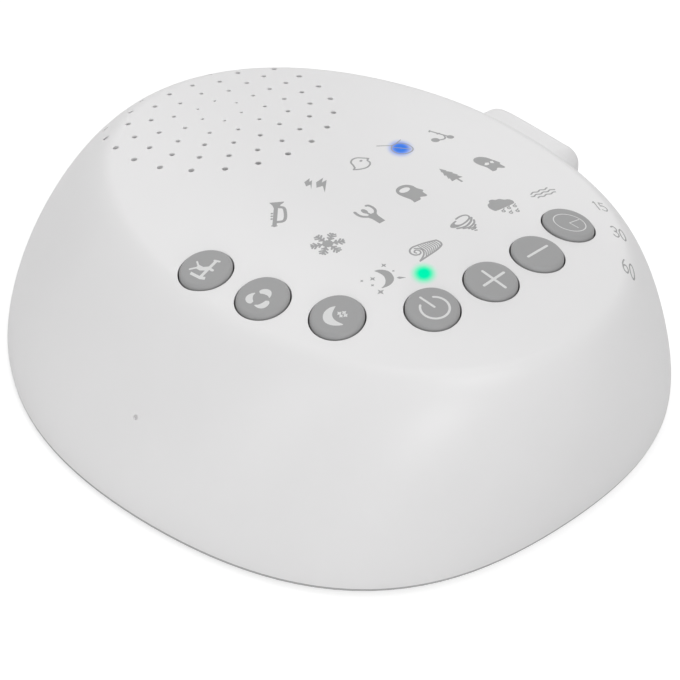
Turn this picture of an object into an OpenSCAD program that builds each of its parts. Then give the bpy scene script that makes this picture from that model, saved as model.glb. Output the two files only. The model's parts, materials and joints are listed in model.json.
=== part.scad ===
// White noise sound machine: a domed case that leans back, with seven keys and
// printed marks on its crown, a drilled grille over a small loudspeaker and a
// pod for the sockets on its right-hand wall.
// Millimetres, +Z up, the key side faces -Y, and the origin lies on the table
// under the middle of the case.

/* [Case outline] */
// Mean radius of the foot of the case
body_r = 72; // [69:0.5:80]
// How far the foot is drawn out from front to back
foot_oval = 1; // [0:0.1:2]
// Three-cornered swell of the foot
foot_tri = 1.3; // [0:0.1:2]
// Five-cornered swell of the foot
foot_five = 1.2; // [0:0.1:2]
// How far the crown's outline sits towards the front
crown_egg = 4; // [2:0.5:6]
// How far the crown's outline is drawn out from front to back
crown_oval = 13.6; // [11:0.2:15]
// Squareness of the crown's outline
crown_square = 0.9; // [0:0.1:2]
// How low on the wall the crown's outline gives way to the foot's
loft_power = 4.2; // [3.6:0.1:5]

/* [Case height] */
// Height of the crown over the rim
crown_h = 42; // [41:0.5:50]
// Angle by which the crown leans back
lean = 8.4; // [6:0.2:10]
// Share of the outline that the flat middle of the crown takes
crown_flat = 0.35; // [0.3:0.01:0.4]
// Share of the outline at which the shoulder lies
shoulder_at = 0.71; // [0.69:0.01:0.74]
// Drop from the crown to the shoulder
shoulder_drop = 5.3; // [4.6:0.1:6]
// Fall of the profile at the shoulder, for the whole outline
shoulder_fall = 15; // [12:1:18]
// Height at which the wall leaves the upright
upright_h = 5.6; // [4:0.2:7]
// Thickness of the case wall
wall = 2.2; // [1.8:0.1:2.6]
// Height of the rim over the table
rim_z = 2; // [1.8:0.1:3]

/* [Keys] */
// Radius of a key
key_r = 5.7; // [5.2:0.1:5.8]
// Gap between a key and its well
key_gap = 0.35; // [0.25:0.05:0.45]
// How far a key stands out of the crown
key_proud = 1; // [0.6:0.1:1.4]
// Travel of a key
key_travel = 0.8; // [0.4:0.1:0.8]
// Thickness of the tube around each key
well_wall = 0.7; // [0.6:0.1:0.8]
// Depth of the wells' flat ends under the crown's middle
well_depth = 10.2; // [10.2:0.1:11]
// How far a key's rim reaches past its well
key_catch = 0.6; // [0.5:0.05:0.65]
// Thickness of a key's rim
key_rim_t = 0.8; // [0.7:0.1:1.2]
// Gap over a key's rim
key_rim_gap = 0.3; // [0.25:0.05:0.4]
// Length of the post under a key
key_post = 1.4; // [1.2:0.1:2.4]
// Radius of the post under a key
key_post_r = 2.4; // [2:0.1:2.8]

/* [Switches] */
// Side of a switch
switch_side = 6.2; // [5.8:0.1:6.6]
// Height of a switch's moulded body
switch_base_h = 3.1; // [2.8:0.1:3.6]
// Thickness of a switch's metal cover
switch_cover_t = 0.3; // [0.2:0.05:0.4]
// How far the stem stands out of a switch
stem_out = 1.1; // [1:0.05:1.4]
// How far the stem reaches into a switch
stem_in = 1.4; // [1.2:0.1:1.6]
// Radius of the stem
stem_r = 1.7; // [1.5:0.1:1.9]
// Gap around the stem
stem_gap = 0.15; // [0.1:0.05:0.25]

/* [Boards and lights] */
// Thickness of the control board
board_t = 1.6; // [1.2:0.1:1.8]
// Radius of the posts that carry the boards
post_r = 2.6; // [2.4:0.1:2.8]
// Radius of the thread of a board screw
board_screw_r = 1; // [0.9:0.05:1.1]
// Length of a board screw's thread
board_screw_l = 6; // [5:0.5:7]
// Radius of a board screw's head
board_head_r = 1.9; // [1.7:0.1:2.1]
// Height of a board screw's head
board_head_h = 1.3; // [1:0.1:1.6]
// Gap between a screw and the hole that it is driven into
thread_gap = 0.05; // [0.05:0.01:0.08]
// Radius of a light guide
guide_r = 1.2; // [1:0.05:1.3]
// Thickness of the wall that a light shines through
light_skin = 0.9; // [0.7:0.1:1.1]
// Height of a light chip
chip_h = 0.8; // [0.6:0.1:1]
// Thickness of the web that joins the guides under the marks
web_t = 1; // [0.8:0.1:1.4]
// Depth of that web under the crown's middle
web_depth = 9; // [8.5:0.1:9.5]
// Distance from one mark to the next across the crown
mark_dx = 11.7; // [11.2:0.1:12]
// Distance from one row of marks to the next
mark_dy = 15.1; // [14.5:0.1:15.4]

/* [Loudspeaker] */
// Radius of the loudspeaker's rim
speaker_r = 27; // [26.8:0.1:27.4]
// Angle by which the loudspeaker leans back
speaker_tilt = 18; // [17:0.5:19]
// Distance of the grille's middle behind the middle of the case
grille_y = 39; // [38.5:0.25:39.5]
// How far the loudspeaker's middle lies in front of the grille's
speaker_ahead = 1.75; // [1:0.25:3]
// Depth of the loudspeaker's face under the crown
speaker_drop = 20; // [19.6:0.1:21]
// Radial step from one ring of grille holes to the next
ring_step = 4.9; // [4.4:0.1:5]
// Radius of the smallest grille holes
hole_small_r = 0.45; // [0.4:0.05:0.5]
// Radius of the largest grille holes
hole_large_r = 0.75; // [0.7:0.05:0.8]
// Thickness of the foam gasket
gasket_t = 1.5; // [1.4:0.1:1.7]
// Thickness of the dust cloth
cloth_t = 0.4; // [0.3:0.05:0.5]
// Width of the gasket and of the seat that it lies on
seat_w = 1.6; // [1.4:0.1:1.9]

/* [Socket pod] */
// Width of the pod
pod_w = 28; // [26:0.5:30]
// Distance of the pod's middle behind the middle of the case
pod_v = 8; // [7:0.5:9]
// How far the pod stands out of the wall at its top edge
pod_proud = 7; // [6:0.2:8]
// Depth of the pod's top under the crown's middle
pod_depth = 16.8; // [16.4:0.1:17.4]
// Rounding of the pod's corners
pod_round = 4; // [3:0.5:5]
// Thickness of the pod's wall
pod_wall = 1.8; // [1.6:0.1:2]
// Radius of the hole in the audio socket
audio_r = 1.8; // [1.76:0.01:1.9]
// Radius of the audio socket's nose
audio_nose_r = 2.6; // [2.4:0.1:2.7]
// Width of the power socket's mouth
power_w = 8.9; // [8.4:0.1:9.2]
// Height of the power socket's mouth
power_h = 3.2; // [3:0.1:3.4]
// Thickness of the socket board
socket_board_t = 1.2; // [1:0.1:1.4]

/* [Base] */
// Thickness of the bottom cover
cover_t = 2.2; // [2:0.1:2.6]
// Gap between the bottom cover and the wall
cover_gap = 0.5; // [0.45:0.05:0.6]
// Height of the cover's underside over the table
cover_z = 1; // [0.8:0.1:1.4]
// Height of the locating lip on the cover
lip_h = 3.5; // [2.5:0.5:4]
// Distance of that lip from the cover's edge
lip_in = 2.5; // [2.4:0.1:3.2]
// Thickness of that lip
lip_t = 1.4; // [1.2:0.1:1.6]
// Radius of a case screw's thread
case_screw_r = 1.5; // [1.3:0.05:1.6]
// Length of a case screw's thread
case_screw_l = 12; // [10:0.5:13]
// Radius of a case screw's head
case_head_r = 3; // [2.8:0.1:3.2]
// Height of a case screw's head
case_head_h = 2; // [1.6:0.1:2.2]
// Radius of the columns that the case screws are driven into
column_r = 3.8; // [3.4:0.1:4]
// Radius of a foot
foot_pad_r = 7; // [6:0.5:7.5]
// Depth of the recess that a foot is glued into
foot_recess = 0.8; // [0.6:0.1:1]

/* [Hidden] */

$fn = 48;
SIDES = 64;          // flats around the case
CROWN_RINGS = 7;     // rings of flats from the middle to the shoulder
WALL_RINGS = 9;      // rings of flats from the shoulder to the rim
EPS = 0.01;

// Places on the crown, [to the right, to the back] of its middle
key_places = [[-40, 0.6], [-38, -14.2], [-31.8, -28.8], [-17.2, -40], [-2.9, -41.7], [10.9, -41.1], [24.1, -37.3]];
power_light_place = [-11.3, -31.5];
timer_light_places = [[35.5, -33], [32, -42.5], [25.5, -51]];
mark_mid = [5.1, -10.9];
board_post_places = [[-30, 6], [36, 4], [5, -52], [-24, -49]];
board_outline = [[-45, 9], [39.5, 9], [39.5, -26], [39, -37], [26.8, -54.2], [-26, -53.5], [-38, -38], [-45, -14]];

// Places on the table plane, [to the right, to the back] of the origin
column_places = [[-52, -28], [52, -28], [-45, 34], [45, 34]];
pad_places = [[-40, -44], [40, -44], [-38, 42], [38, 42]];

// ---- case surface ----

// Outlines by the angle from the back (+Y) towards the right (+X)
function foot_outline(a) =
    body_r + foot_oval * cos(2 * a) + foot_tri * cos(3 * a) + foot_five * cos(5 * a);
function crown_outline(a) =
    body_r - crown_egg * cos(a) + crown_oval * cos(2 * a) + crown_square * cos(4 * a);
function loft_outline(a, s) =
    let (w = pow(min(s, 1), loft_power)) (1 - w) * crown_outline(a) + w * foot_outline(a);

// The outline's depth is centred on the origin by this shift
case_shift = (foot_outline(0) - foot_outline(180)) / 2;

function bezier(p, t) =
    pow(1 - t, 3) * p[0] + 3 * pow(1 - t, 2) * t * p[1] + 3 * (1 - t) * t * t * p[2] + pow(t, 3) * p[3];

shoulder = [shoulder_at, crown_h - shoulder_drop];
crown_reach = 0.3 * shoulder_at;
wall_reach = 0.15 * shoulder_at;
crown_curve = [[0, crown_h], [crown_flat, crown_h], shoulder + crown_reach * [-1, shoulder_fall], shoulder];
wall_curve = [shoulder, shoulder + wall_reach * [1, -shoulder_fall], [1, upright_h], [1, 0]];

// [share of the outline, height over the rim], from 0 at the middle by 1 at the shoulder to 2 at the rim
function profile(t) = t < 1 ? bezier(crown_curve, t) : bezier(wall_curve, t - 1);

function skin(a, t) =
    let (q = profile(t), r = q[0] * loft_outline(a, q[0]), y = r * cos(a))
    [r * sin(a), y - case_shift, rim_z + q[1] * (1 - tan(lean) * y / crown_h)];

function skin_normal(a, t) =
    let (across = skin(a + 0.5, t) - skin(a - 0.5, t),
         along = skin(a, min(t + 0.01, 2)) - skin(a, t - 0.01),
         n = cross(across, along))
    n / norm(n);

// The skin moved inwards by a depth, with its last ring kept level
function inset(a, t, depth) =
    let (p = depth == 0 ? skin(a, t) : skin(a, t) - depth * skin_normal(a, t))
    t == 2 ? [p[0], p[1], rim_z] : p;

ring_stops = [for (i = [1:CROWN_RINGS]) i / CROWN_RINGS, for (i = [1:WALL_RINGS]) 1 + i / WALL_RINGS];
RINGS = len(ring_stops);

function ring_points(depth) =
    [for (t = ring_stops, k = [0:SIDES - 1]) inset(k * 360 / SIDES, t, depth)];
function ring_faces(first, flip) =
    [for (i = [0:RINGS - 2], k = [0:SIDES - 1], half = [0, 1])
        let (a = first + i * SIDES + k, b = first + i * SIDES + (k + 1) % SIDES,
             tri = half == 0 ? [a, a + SIDES, b] : [b, a + SIDES, b + SIDES])
        flip ? [tri[2], tri[1], tri[0]] : tri];
function cap_faces(first, pole, flip) =
    [for (k = [0:SIDES - 1])
        let (a = first + k, b = first + (k + 1) % SIDES)
        flip ? [b, a, pole] : [pole, a, b]];

// Hollow shell of one wall thickness, open at the rim
module case_skin() {
    outer_pole = 0;
    outer = 1;
    inner_pole = outer + RINGS * SIDES;
    inner = inner_pole + 1;
    outer_rim = outer + (RINGS - 1) * SIDES;
    inner_rim = inner + (RINGS - 1) * SIDES;
    polyhedron(
        points = concat([[0, -case_shift, rim_z + crown_h]], ring_points(0),
            [[0, -case_shift - wall * sin(lean), rim_z + crown_h - wall * cos(lean)]], ring_points(wall)),
        faces = concat(cap_faces(outer, outer_pole, false), ring_faces(outer, false),
            cap_faces(inner, inner_pole, true), ring_faces(inner, true),
            [for (k = [0:SIDES - 1], half = [0, 1])
                let (n = (k + 1) % SIDES)
                half == 0 ? [outer_rim + k, inner_rim + k, outer_rim + n]
                    : [outer_rim + n, inner_rim + k, inner_rim + n]]));
}

// Solid that ends in the middle of the wall, which trims what stands on the inside
module case_core() {
    depth = wall / 2;
    rim = 1 + (RINGS - 1) * SIDES;
    polyhedron(
        points = concat([[0, -case_shift - depth * sin(lean), rim_z + crown_h - depth * cos(lean)]],
            ring_points(depth)),
        faces = concat(cap_faces(1, 0, false), ring_faces(1, false), [[for (k = [SIDES - 1:-1:0]) rim + k]]));
}

// ---- places on the crown ----

// The deck is the plane that touches the crown in its middle: it leans back with the crown
module deck() {
    translate([0, -case_shift, rim_z + crown_h]) rotate([-lean, 0, 0]) children();
}
module deck_at(place, w = 0) {
    deck() translate([place[0], place[1], w]) children();
}
function deck_point(u, v, w) =
    [u, v * cos(lean) + w * sin(lean) - case_shift, rim_z + crown_h - v * sin(lean) + w * cos(lean)];

function share_at(r, a, s, n) = n == 0 ? s : share_at(r, a, (s + r / loft_outline(a, s)) / 2, n - 1);
function stop_at(s, low, high, n) =
    let (mid = (low + high) / 2)
    n == 0 ? mid : profile(mid)[0] < s ? stop_at(s, mid, high, n - 1) : stop_at(s, low, mid, n - 1);
function skin_z(x, y) =
    let (back = y + case_shift, r = norm([x, back]), a = atan2(x, back),
         s = min(share_at(r, a, r / body_r, 20), 1))
    rim_z + profile(stop_at(s, 0, 2, 20))[1] * (1 - tan(lean) * back / crown_h);

// Height of the skin over the deck, which is negative, and its slope there
function skin_w(u, v, w = 0, n = 7) =
    n == 0 ? w : let (p = deck_point(u, v, w)) skin_w(u, v, w + (skin_z(p[0], p[1]) - p[2]) / cos(lean), n - 1);
function skin_slope(u, v) =
    [skin_w(u + 0.5, v) - skin_w(u - 0.5, v), skin_w(u, v + 0.5) - skin_w(u, v - 0.5)];

// Where the wall stands at its right-hand side, for a height over the rim
function wall_stop(h, low, high, n) =
    let (mid = (low + high) / 2)
    n == 0 ? mid : profile(mid)[1] > h ? wall_stop(h, mid, high, n - 1) : wall_stop(h, low, mid, n - 1);
function wall_x(h) = let (s = profile(wall_stop(h, 1, 2, 20))[0]) s * loft_outline(90, s);

// ---- levels under the deck ----

well_floor = -well_depth;
key_rim_top = well_floor - key_rim_gap;
stem_top = key_rim_top - key_rim_t - key_post;
switch_h = switch_base_h + switch_cover_t + stem_out;
board_top = stem_top - switch_h;
board_floor = board_top - board_t;
chip_top = board_top + chip_h;
guide_foot = chip_top + 0.2;
well_r = key_r + key_gap;

mark_places = [for (j = [-1:1], i = [-2:2]) mark_mid + [i * mark_dx, j * mark_dy]];

function pocket_top(place) =
    skin_w(place[0], place[1]) - light_skin - guide_r * norm(skin_slope(place[0], place[1]));

// ---- socket pod levels ----

pod_face = wall_x(crown_h - pod_depth) + pod_proud;
pod_block_l = 15;
pod_block_h = 14;
pod_hollow_l = 20;
pod_inside = pod_face - pod_wall;
pod_roof = -pod_depth - pod_wall;
audio_h = 5;
audio_w = 6;
audio_l = 13;
socket_board_top = pod_roof - 0.3 - audio_h;
socket_board_floor = socket_board_top - socket_board_t;
audio_axis = socket_board_top + audio_h / 2;
power_axis = socket_board_top + power_h / 2;
audio_v = pod_v - 6;
power_v = pod_v + 6.5;
power_l = 7.4;
power_metal = 0.3;
socket_board_l = 19;
socket_back = pod_face - socket_board_l;
socket_post_r = post_r - 0.4;
socket_post_v = pod_v - 0.4;
socket_post_places = [[pod_face - 15.5, socket_post_v], [pod_face - 5.2, socket_post_v]];
socket_board_half = 11;
socket_hole_gap = 0.15;

// ---- loudspeaker levels ----

speaker_z = rim_z + crown_h - speaker_drop;
speaker_y = grille_y - speaker_ahead;
module speaker_place() {
    translate([0, speaker_y, speaker_z]) rotate([-speaker_tilt, 0, 0]) children();
}
function speaker_point(x, y, w) =
    [x, speaker_y + y * cos(speaker_tilt) + w * sin(speaker_tilt),
        speaker_z - y * sin(speaker_tilt) + w * cos(speaker_tilt)];

seat_in = speaker_r - seat_w;
rim_t = 1;
seat_level = gasket_t + cloth_t;
seat_t = 1;
chamber_in = speaker_r + 1.5;
chamber_out = chamber_in + 1.3;
speaker_post_r = 2.8;
speaker_post_at = speaker_r + speaker_post_r + 0.5;
speaker_post_angles = [10, 170, 215, 325];
washer_t = 0.6;
washer_r = 4.4;
basket_mouth = speaker_r - 3.8;
basket_depth = 8;
basket_t = 0.8;
basket_back = 13.2;
basket_hole = 7;
pole_r = 4.7;
coil_in = 5;
coil_out = 5.4;
plate_hole = 5.9;
plate_r = 11;
plate_t = 1.5;
magnet_in = 6.6;
magnet_r = 12;
magnet_t = 3.5;
yoke_t = 1.6;
cone_r = basket_mouth - 3;
cone_t = 0.5;
cone_rise = 6.1;

// Holes in each ring, and the turn of each ring's first hole from the back
grille_counts = [6, 10, 15, 20, 22];
grille_turns = [30, 21, 21, 1, 8];

// ---- base levels ----

cover_top = cover_z + cover_t;
cup_top = cover_top + lip_h;
head_depth = 3;
column_hole_l = case_screw_l - (cup_top - cover_z - head_depth) + 1.5;

// ---- shared forms ----

module tube(r, hole, h) {
    difference() {
        cylinder(r = r, h = h);
        translate([0, 0, -1]) cylinder(r = hole, h = h + 2);
    }
}

// Screw with its head under z = 0 and its thread above
module screw(thread_r, thread_l, head_r, head_h) {
    cylinder(r = thread_r, h = thread_l);
    translate([0, 0, -head_h]) difference() {
        cylinder(r = head_r, h = head_h);
        for (turn = [0, 90])
            rotate([0, 0, turn]) translate([-head_r * 0.6, -head_r * 0.11, -EPS])
                cube([head_r * 1.2, head_r * 0.22, head_h * 0.45]);
    }
}

// Upright slot with round ends, running along X
module slot_plate(w, h, t) {
    linear_extrude(t) {
        square([w - h, h], center = true);
        for (side = [-1, 1]) translate([side * (w - h) / 2, 0]) circle(r = h / 2);
    }
}

module rounded_plate(w, d, r, t) {
    linear_extrude(t) {
        square([w - 2 * r, d], center = true);
        square([w, d - 2 * r], center = true);
        for (i = [-1, 1], j = [-1, 1]) translate([i * (w / 2 - r), j * (d / 2 - r)]) circle(r = r);
    }
}

// Lead: a tube swept along hand-placed points through a smooth curve
LEAD_SIDES = 8;
LEAD_STEPS = 5;
function curve_point(p, i, t) =
    let (n = len(p) - 1, a = p[max(i - 1, 0)], b = p[i], c = p[min(i + 1, n)], d = p[min(i + 2, n)])
    0.5 * (2 * b + (c - a) * t + (2 * a - 5 * b + 4 * c - d) * t * t + (3 * b - a - 3 * c + d) * t * t * t);
function curve_points(p) =
    concat([for (i = [0:len(p) - 2], k = [0:LEAD_STEPS - 1]) curve_point(p, i, k / LEAD_STEPS)], [p[len(p) - 1]]);
module lead(points, r) {
    path = curve_points(points);
    last = len(path) - 1;
    rings = [for (i = [0:last])
        let (way = path[min(i + 1, last)] - path[max(i - 1, 0)],
             side = cross(way, [0.1, 1, 0.13]), u = side / norm(side),
             up = cross(u, way), v = up / norm(up))
        for (k = [0:LEAD_SIDES - 1])
            path[i] + r * (cos(k * 360 / LEAD_SIDES) * u + sin(k * 360 / LEAD_SIDES) * v)];
    polyhedron(points = rings,
        faces = concat(
            [[for (k = [LEAD_SIDES - 1:-1:0]) k]],
            [[for (k = [0:LEAD_SIDES - 1]) last * LEAD_SIDES + k]],
            [for (i = [0:last - 1], k = [0:LEAD_SIDES - 1], half = [0, 1])
                let (a = i * LEAD_SIDES + k, b = i * LEAD_SIDES + (k + 1) % LEAD_SIDES)
                half == 0 ? [b, a + LEAD_SIDES, a] : [b + LEAD_SIDES, a + LEAD_SIDES, b]]));
}

// ---- top shell ----

module pod_block() {
    deck_at([pod_face - pod_block_l / 2, pod_v], -pod_depth - pod_block_h)
        intersection() {
            rounded_plate(pod_block_l, pod_w, pod_round, pod_block_h);
            translate([-pod_block_l / 2, 0, pod_block_h / 2 - pod_round]) rotate([90, 0, 90])
                rounded_plate(pod_w, pod_block_h + 2 * pod_round, pod_round, pod_block_l);
        }
}

module pod_hollow() {
    deck_at([pod_face - pod_hollow_l, pod_v - pod_w / 2 + pod_wall], pod_roof - pod_block_h)
        cube([pod_hollow_l - pod_wall, pod_w - 2 * pod_wall, pod_block_h]);
}

module grille_holes() {
    for (ring = [1:len(grille_counts)])
        let (count = grille_counts[ring - 1],
             r = hole_small_r + (hole_large_r - hole_small_r) * (ring - 1) / (len(grille_counts) - 1))
        for (k = [0:count - 1])
            let (a = grille_turns[ring - 1] + k * 360 / count,
                 x = ring * ring_step * sin(a), y = grille_y + ring * ring_step * cos(a),
                 slope = [skin_z(x + 1, y) - skin_z(x, y), skin_z(x, y + 1) - skin_z(x, y)],
                 depth = wall * norm([slope[0], slope[1], 1]) + r * norm(slope) + 0.3)
            translate([x, y, skin_z(x, y) - depth]) cylinder(r = r, h = crown_h);
}

module inside_posts() {
    for (p = key_places)
        deck_at(p, well_floor) cylinder(r = well_r + well_wall, h = well_depth);
    for (p = board_post_places)
        deck_at(p, board_top) cylinder(r = post_r, h = -board_top);
    for (p = socket_post_places)
        deck_at(p, socket_board_top) cylinder(r = socket_post_r, h = -socket_board_top);
    for (p = column_places)
        translate([p[0], p[1], cup_top]) cylinder(r = column_r, h = crown_h);
    speaker_place() {
        translate([0, 0, seat_level]) tube(chamber_out, seat_in, seat_t);
        translate([0, 0, seat_level]) tube(chamber_out, chamber_in, speaker_drop);
        for (a = speaker_post_angles)
            rotate([0, 0, a]) translate([speaker_post_at, 0, -rim_t]) cylinder(r = speaker_post_r, h = speaker_drop);
    }
}

module top_shell() {
    color("whitesmoke") difference() {
        union() {
            case_skin();
            pod_block();
            intersection() {
                inside_posts();
                case_core();
            }
        }
        pod_hollow_without_post();
        for (p = key_places)
            deck_at(p, well_floor - 1) cylinder(r = well_r, h = well_depth + 6);
        for (p = concat(mark_places, [power_light_place], timer_light_places))
            deck_at(p, pocket_top(p) - wall - 4) cylinder(r = guide_r + 0.05, h = wall + 4);
        for (p = board_post_places)
            deck_at(p, board_top - 1) cylinder(r = board_screw_r + thread_gap, h = board_screw_l);
        for (p = socket_post_places)
            deck_at(p, socket_board_top - 1) cylinder(r = board_screw_r + thread_gap, h = board_screw_l - 1.5);
        for (p = column_places)
            translate([p[0], p[1], cup_top - 1]) cylinder(r = case_screw_r + thread_gap, h = column_hole_l);
        speaker_place() for (a = speaker_post_angles)
            rotate([0, 0, a]) translate([speaker_post_at, 0, -rim_t - 1])
                cylinder(r = board_screw_r + thread_gap, h = board_screw_l - 1);
        grille_holes();
        deck_at([pod_face - 5, audio_v], audio_axis) rotate([0, 90, 0])
            cylinder(r = audio_nose_r + socket_hole_gap, h = 10);
        deck_at([pod_face - 5, power_v], power_axis) rotate([90, 0, 90])
            slot_plate(power_w + 2 * socket_hole_gap, power_h + 2 * socket_hole_gap, 10);
    }
}

module pod_hollow_without_post() {
    difference() {
        pod_hollow();
        for (p = socket_post_places)
            deck_at(p, socket_board_top) cylinder(r = socket_post_r, h = -socket_board_top);
    }
}

// ---- base ----

function cover_outline(depth) =
    [for (k = [0:SIDES - 1])
        let (a = k * 360 / SIDES, r = foot_outline(a) - wall - cover_gap - depth)
        [r * sin(a), r * cos(a) - case_shift]];

module bottom_cover() {
    color("gainsboro") difference() {
        union() {
            translate([0, 0, cover_z]) linear_extrude(cover_t) polygon(cover_outline(0));
            translate([0, 0, cover_top]) linear_extrude(lip_h) difference() {
                polygon(cover_outline(lip_in));
                polygon(cover_outline(lip_in + lip_t));
            }
            for (p = column_places)
                translate([p[0], p[1], cover_z]) cylinder(r = case_head_r + 2, h = cup_top - cover_z);
        }
        for (p = column_places) translate([p[0], p[1], cover_z - 1]) {
            cylinder(r = case_head_r + 0.4, h = head_depth + 1);
            cylinder(r = case_screw_r + 0.2, h = cup_top);
        }
        for (p = pad_places)
            translate([p[0], p[1], cover_z - 1]) cylinder(r = foot_pad_r + 0.1, h = foot_recess + 1);
    }
}

module rubber_feet() {
    color("dimgray") for (p = pad_places)
        translate([p[0], p[1], 0]) cylinder(r = foot_pad_r, h = cover_z + foot_recess);
}

module case_screws() {
    color("silver") for (p = column_places)
        translate([p[0], p[1], cover_z + head_depth]) screw(case_screw_r, case_screw_l, case_head_r, case_head_h);
}

// ---- keys and switches ----

module key(i) {
    u = key_places[i][0];
    v = key_places[i][1];
    top = skin_w(u, v) + key_proud;
    slope = skin_slope(u, v);
    color("darkgray") deck_at([u, v]) difference() {
        union() {
            translate([0, 0, key_rim_top - key_rim_t])
                cylinder(r = key_r, h = top + key_r * norm(slope) + 1 - key_rim_top + key_rim_t);
            translate([0, 0, key_rim_top - key_rim_t]) cylinder(r = well_r + key_catch, h = key_rim_t);
            translate([0, 0, stem_top]) cylinder(r = key_post_r, h = key_post + EPS);
        }
        translate([0, 0, top]) rotate(a = atan(norm(slope)), v = [slope[1], -slope[0], 0])
            translate([-2 * key_r, -2 * key_r, 0]) cube([4 * key_r, 4 * key_r, 4 * key_r]);
    }
}

module button_lullaby() { key(0); }
module button_fan() { key(1); }
module button_night() { key(2); }
module button_power() { key(3); }
module button_volume_up() { key(4); }
module button_volume_down() { key(5); }
module button_timer() { key(6); }

module stem(i) {
    color("dimgray") deck_at(key_places[i], stem_top - stem_out - switch_cover_t - stem_in)
        cylinder(r = stem_r, h = stem_out + switch_cover_t + stem_in);
}

module stem_lullaby() { stem(0); }
module stem_fan() { stem(1); }
module stem_night() { stem(2); }
module stem_power() { stem(3); }
module stem_volume_up() { stem(4); }
module stem_volume_down() { stem(5); }
module stem_timer() { stem(6); }

module switch_bodies() {
    color("black") for (p = key_places) deck_at(p, board_top) difference() {
        translate([-switch_side / 2, -switch_side / 2, 0]) cube([switch_side, switch_side, switch_base_h]);
        translate([0, 0, switch_base_h - stem_in - key_travel - 0.2])
            cylinder(r = stem_r + stem_gap, h = switch_base_h);
    }
}

module switch_covers() {
    color("silver") for (p = key_places) deck_at(p, board_top + switch_base_h) difference() {
        translate([-switch_side / 2, -switch_side / 2, 0]) cube([switch_side, switch_side, switch_cover_t]);
        translate([0, 0, -1]) cylinder(r = stem_r + stem_gap, h = switch_cover_t + 2);
    }
}

// ---- control board ----

module control_board() {
    color("darkgreen") deck() translate([0, 0, board_floor]) difference() {
        linear_extrude(board_t) polygon(board_outline);
        for (p = board_post_places)
            translate([p[0], p[1], -1]) cylinder(r = board_screw_r + 0.2, h = board_t + 2);
    }
}

module board_screws() {
    color("silver") for (p = board_post_places)
        deck_at(p, board_floor) screw(board_screw_r, board_screw_l, board_head_r, board_head_h);
}

module light_chip(place) {
    deck_at(place, board_top) translate([-1.1, -0.7, 0]) cube([2.2, 1.4, chip_h]);
}

module sound_lights() {
    color("deepskyblue") for (p = mark_places) light_chip(p);
}

module power_light() {
    color("springgreen") light_chip(power_light_place);
}

module timer_lights() {
    color("springgreen") for (p = timer_light_places) light_chip(p);
}

module light_guide(place) {
    deck_at(place, guide_foot) cylinder(r = guide_r, h = pocket_top(place) - guide_foot);
}

module mark_light_guide() {
    color("lightcyan") {
        for (p = mark_places) light_guide(p);
        deck_at(mark_mid, -web_depth - web_t)
            rounded_plate(4 * mark_dx + 2 * guide_r + 1, 2 * mark_dy + 2 * guide_r + 1, guide_r, web_t);
    }
}

module single_light_guides() {
    color("lightcyan") for (p = concat([power_light_place], timer_light_places)) light_guide(p);
}

// Part on the underside of the control board
module under_board(place, size) {
    deck_at(place, board_floor - size[2]) translate([-size[0] / 2, -size[1] / 2, 0]) cube(size);
}

speaker_connector_size = [6, 4.5, 5];
speaker_connector_place = [0, 4];
power_connector_size = [5, 8, 5];
power_connector_place = [31, -8];

module control_chip() {
    color("black") under_board([-8, -14], [7.5, 10.3, 2]);
}

module sound_memory_chip() {
    color("black") under_board([8, -15], [5.2, 5.2, 1.8]);
}

module amplifier_chip() {
    color("black") under_board([-14, 1], [5, 4, 1.6]);
}

module capacitors() {
    color("midnightblue") for (p = [[-28, -6], [-28, -17]])
        deck_at(p, board_floor - 7) cylinder(r = 3.2, h = 7);
}

module speaker_connector() {
    color("ivory") under_board(speaker_connector_place, speaker_connector_size);
}

module power_connector() {
    color("ivory") under_board(power_connector_place, power_connector_size);
}

// ---- loudspeaker ----

module speaker_frame() {
    color("dimgray") speaker_place() rotate_extrude() polygon([
        [speaker_r, 0], [speaker_r, -rim_t], [basket_mouth + rim_t, -rim_t],
        [basket_back, -basket_depth], [basket_hole, -basket_depth],
        [basket_hole, -basket_depth + basket_t], [basket_back - 0.5, -basket_depth + basket_t],
        [basket_mouth, -rim_t + 0.1], [basket_mouth, 0]]);
}

module speaker_top_plate() {
    color("silver") speaker_place() translate([0, 0, -basket_depth - plate_t]) tube(plate_r, plate_hole, plate_t);
}

module speaker_magnet() {
    color("darkslategray") speaker_place() translate([0, 0, -basket_depth - plate_t - magnet_t])
        tube(magnet_r, magnet_in, magnet_t);
}

module speaker_yoke() {
    color("silver") speaker_place() translate([0, 0, -basket_depth - plate_t - magnet_t - yoke_t]) {
        cylinder(r = plate_r, h = yoke_t);
        cylinder(r = pole_r, h = yoke_t + magnet_t + plate_t);
    }
}

module speaker_coil() {
    color("chocolate") speaker_place() translate([0, 0, -basket_depth - plate_t - 0.8])
        tube(coil_out, coil_in, basket_depth - cone_rise - cone_t + plate_t + 0.8 + cone_t);
}

module speaker_spider() {
    color("goldenrod") speaker_place() translate([0, 0, -basket_depth + basket_t])
        tube(basket_back - 0.8, coil_out, 0.3);
}

module speaker_cone() {
    color("black") speaker_place() rotate_extrude() polygon([
        [cone_r, 0], [cone_r, -cone_t], [coil_out + 0.6, -cone_rise - cone_t],
        [coil_out, -cone_rise - cone_t], [coil_out, -cone_rise], [cone_r - 0.8, 0]]);
}

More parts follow.
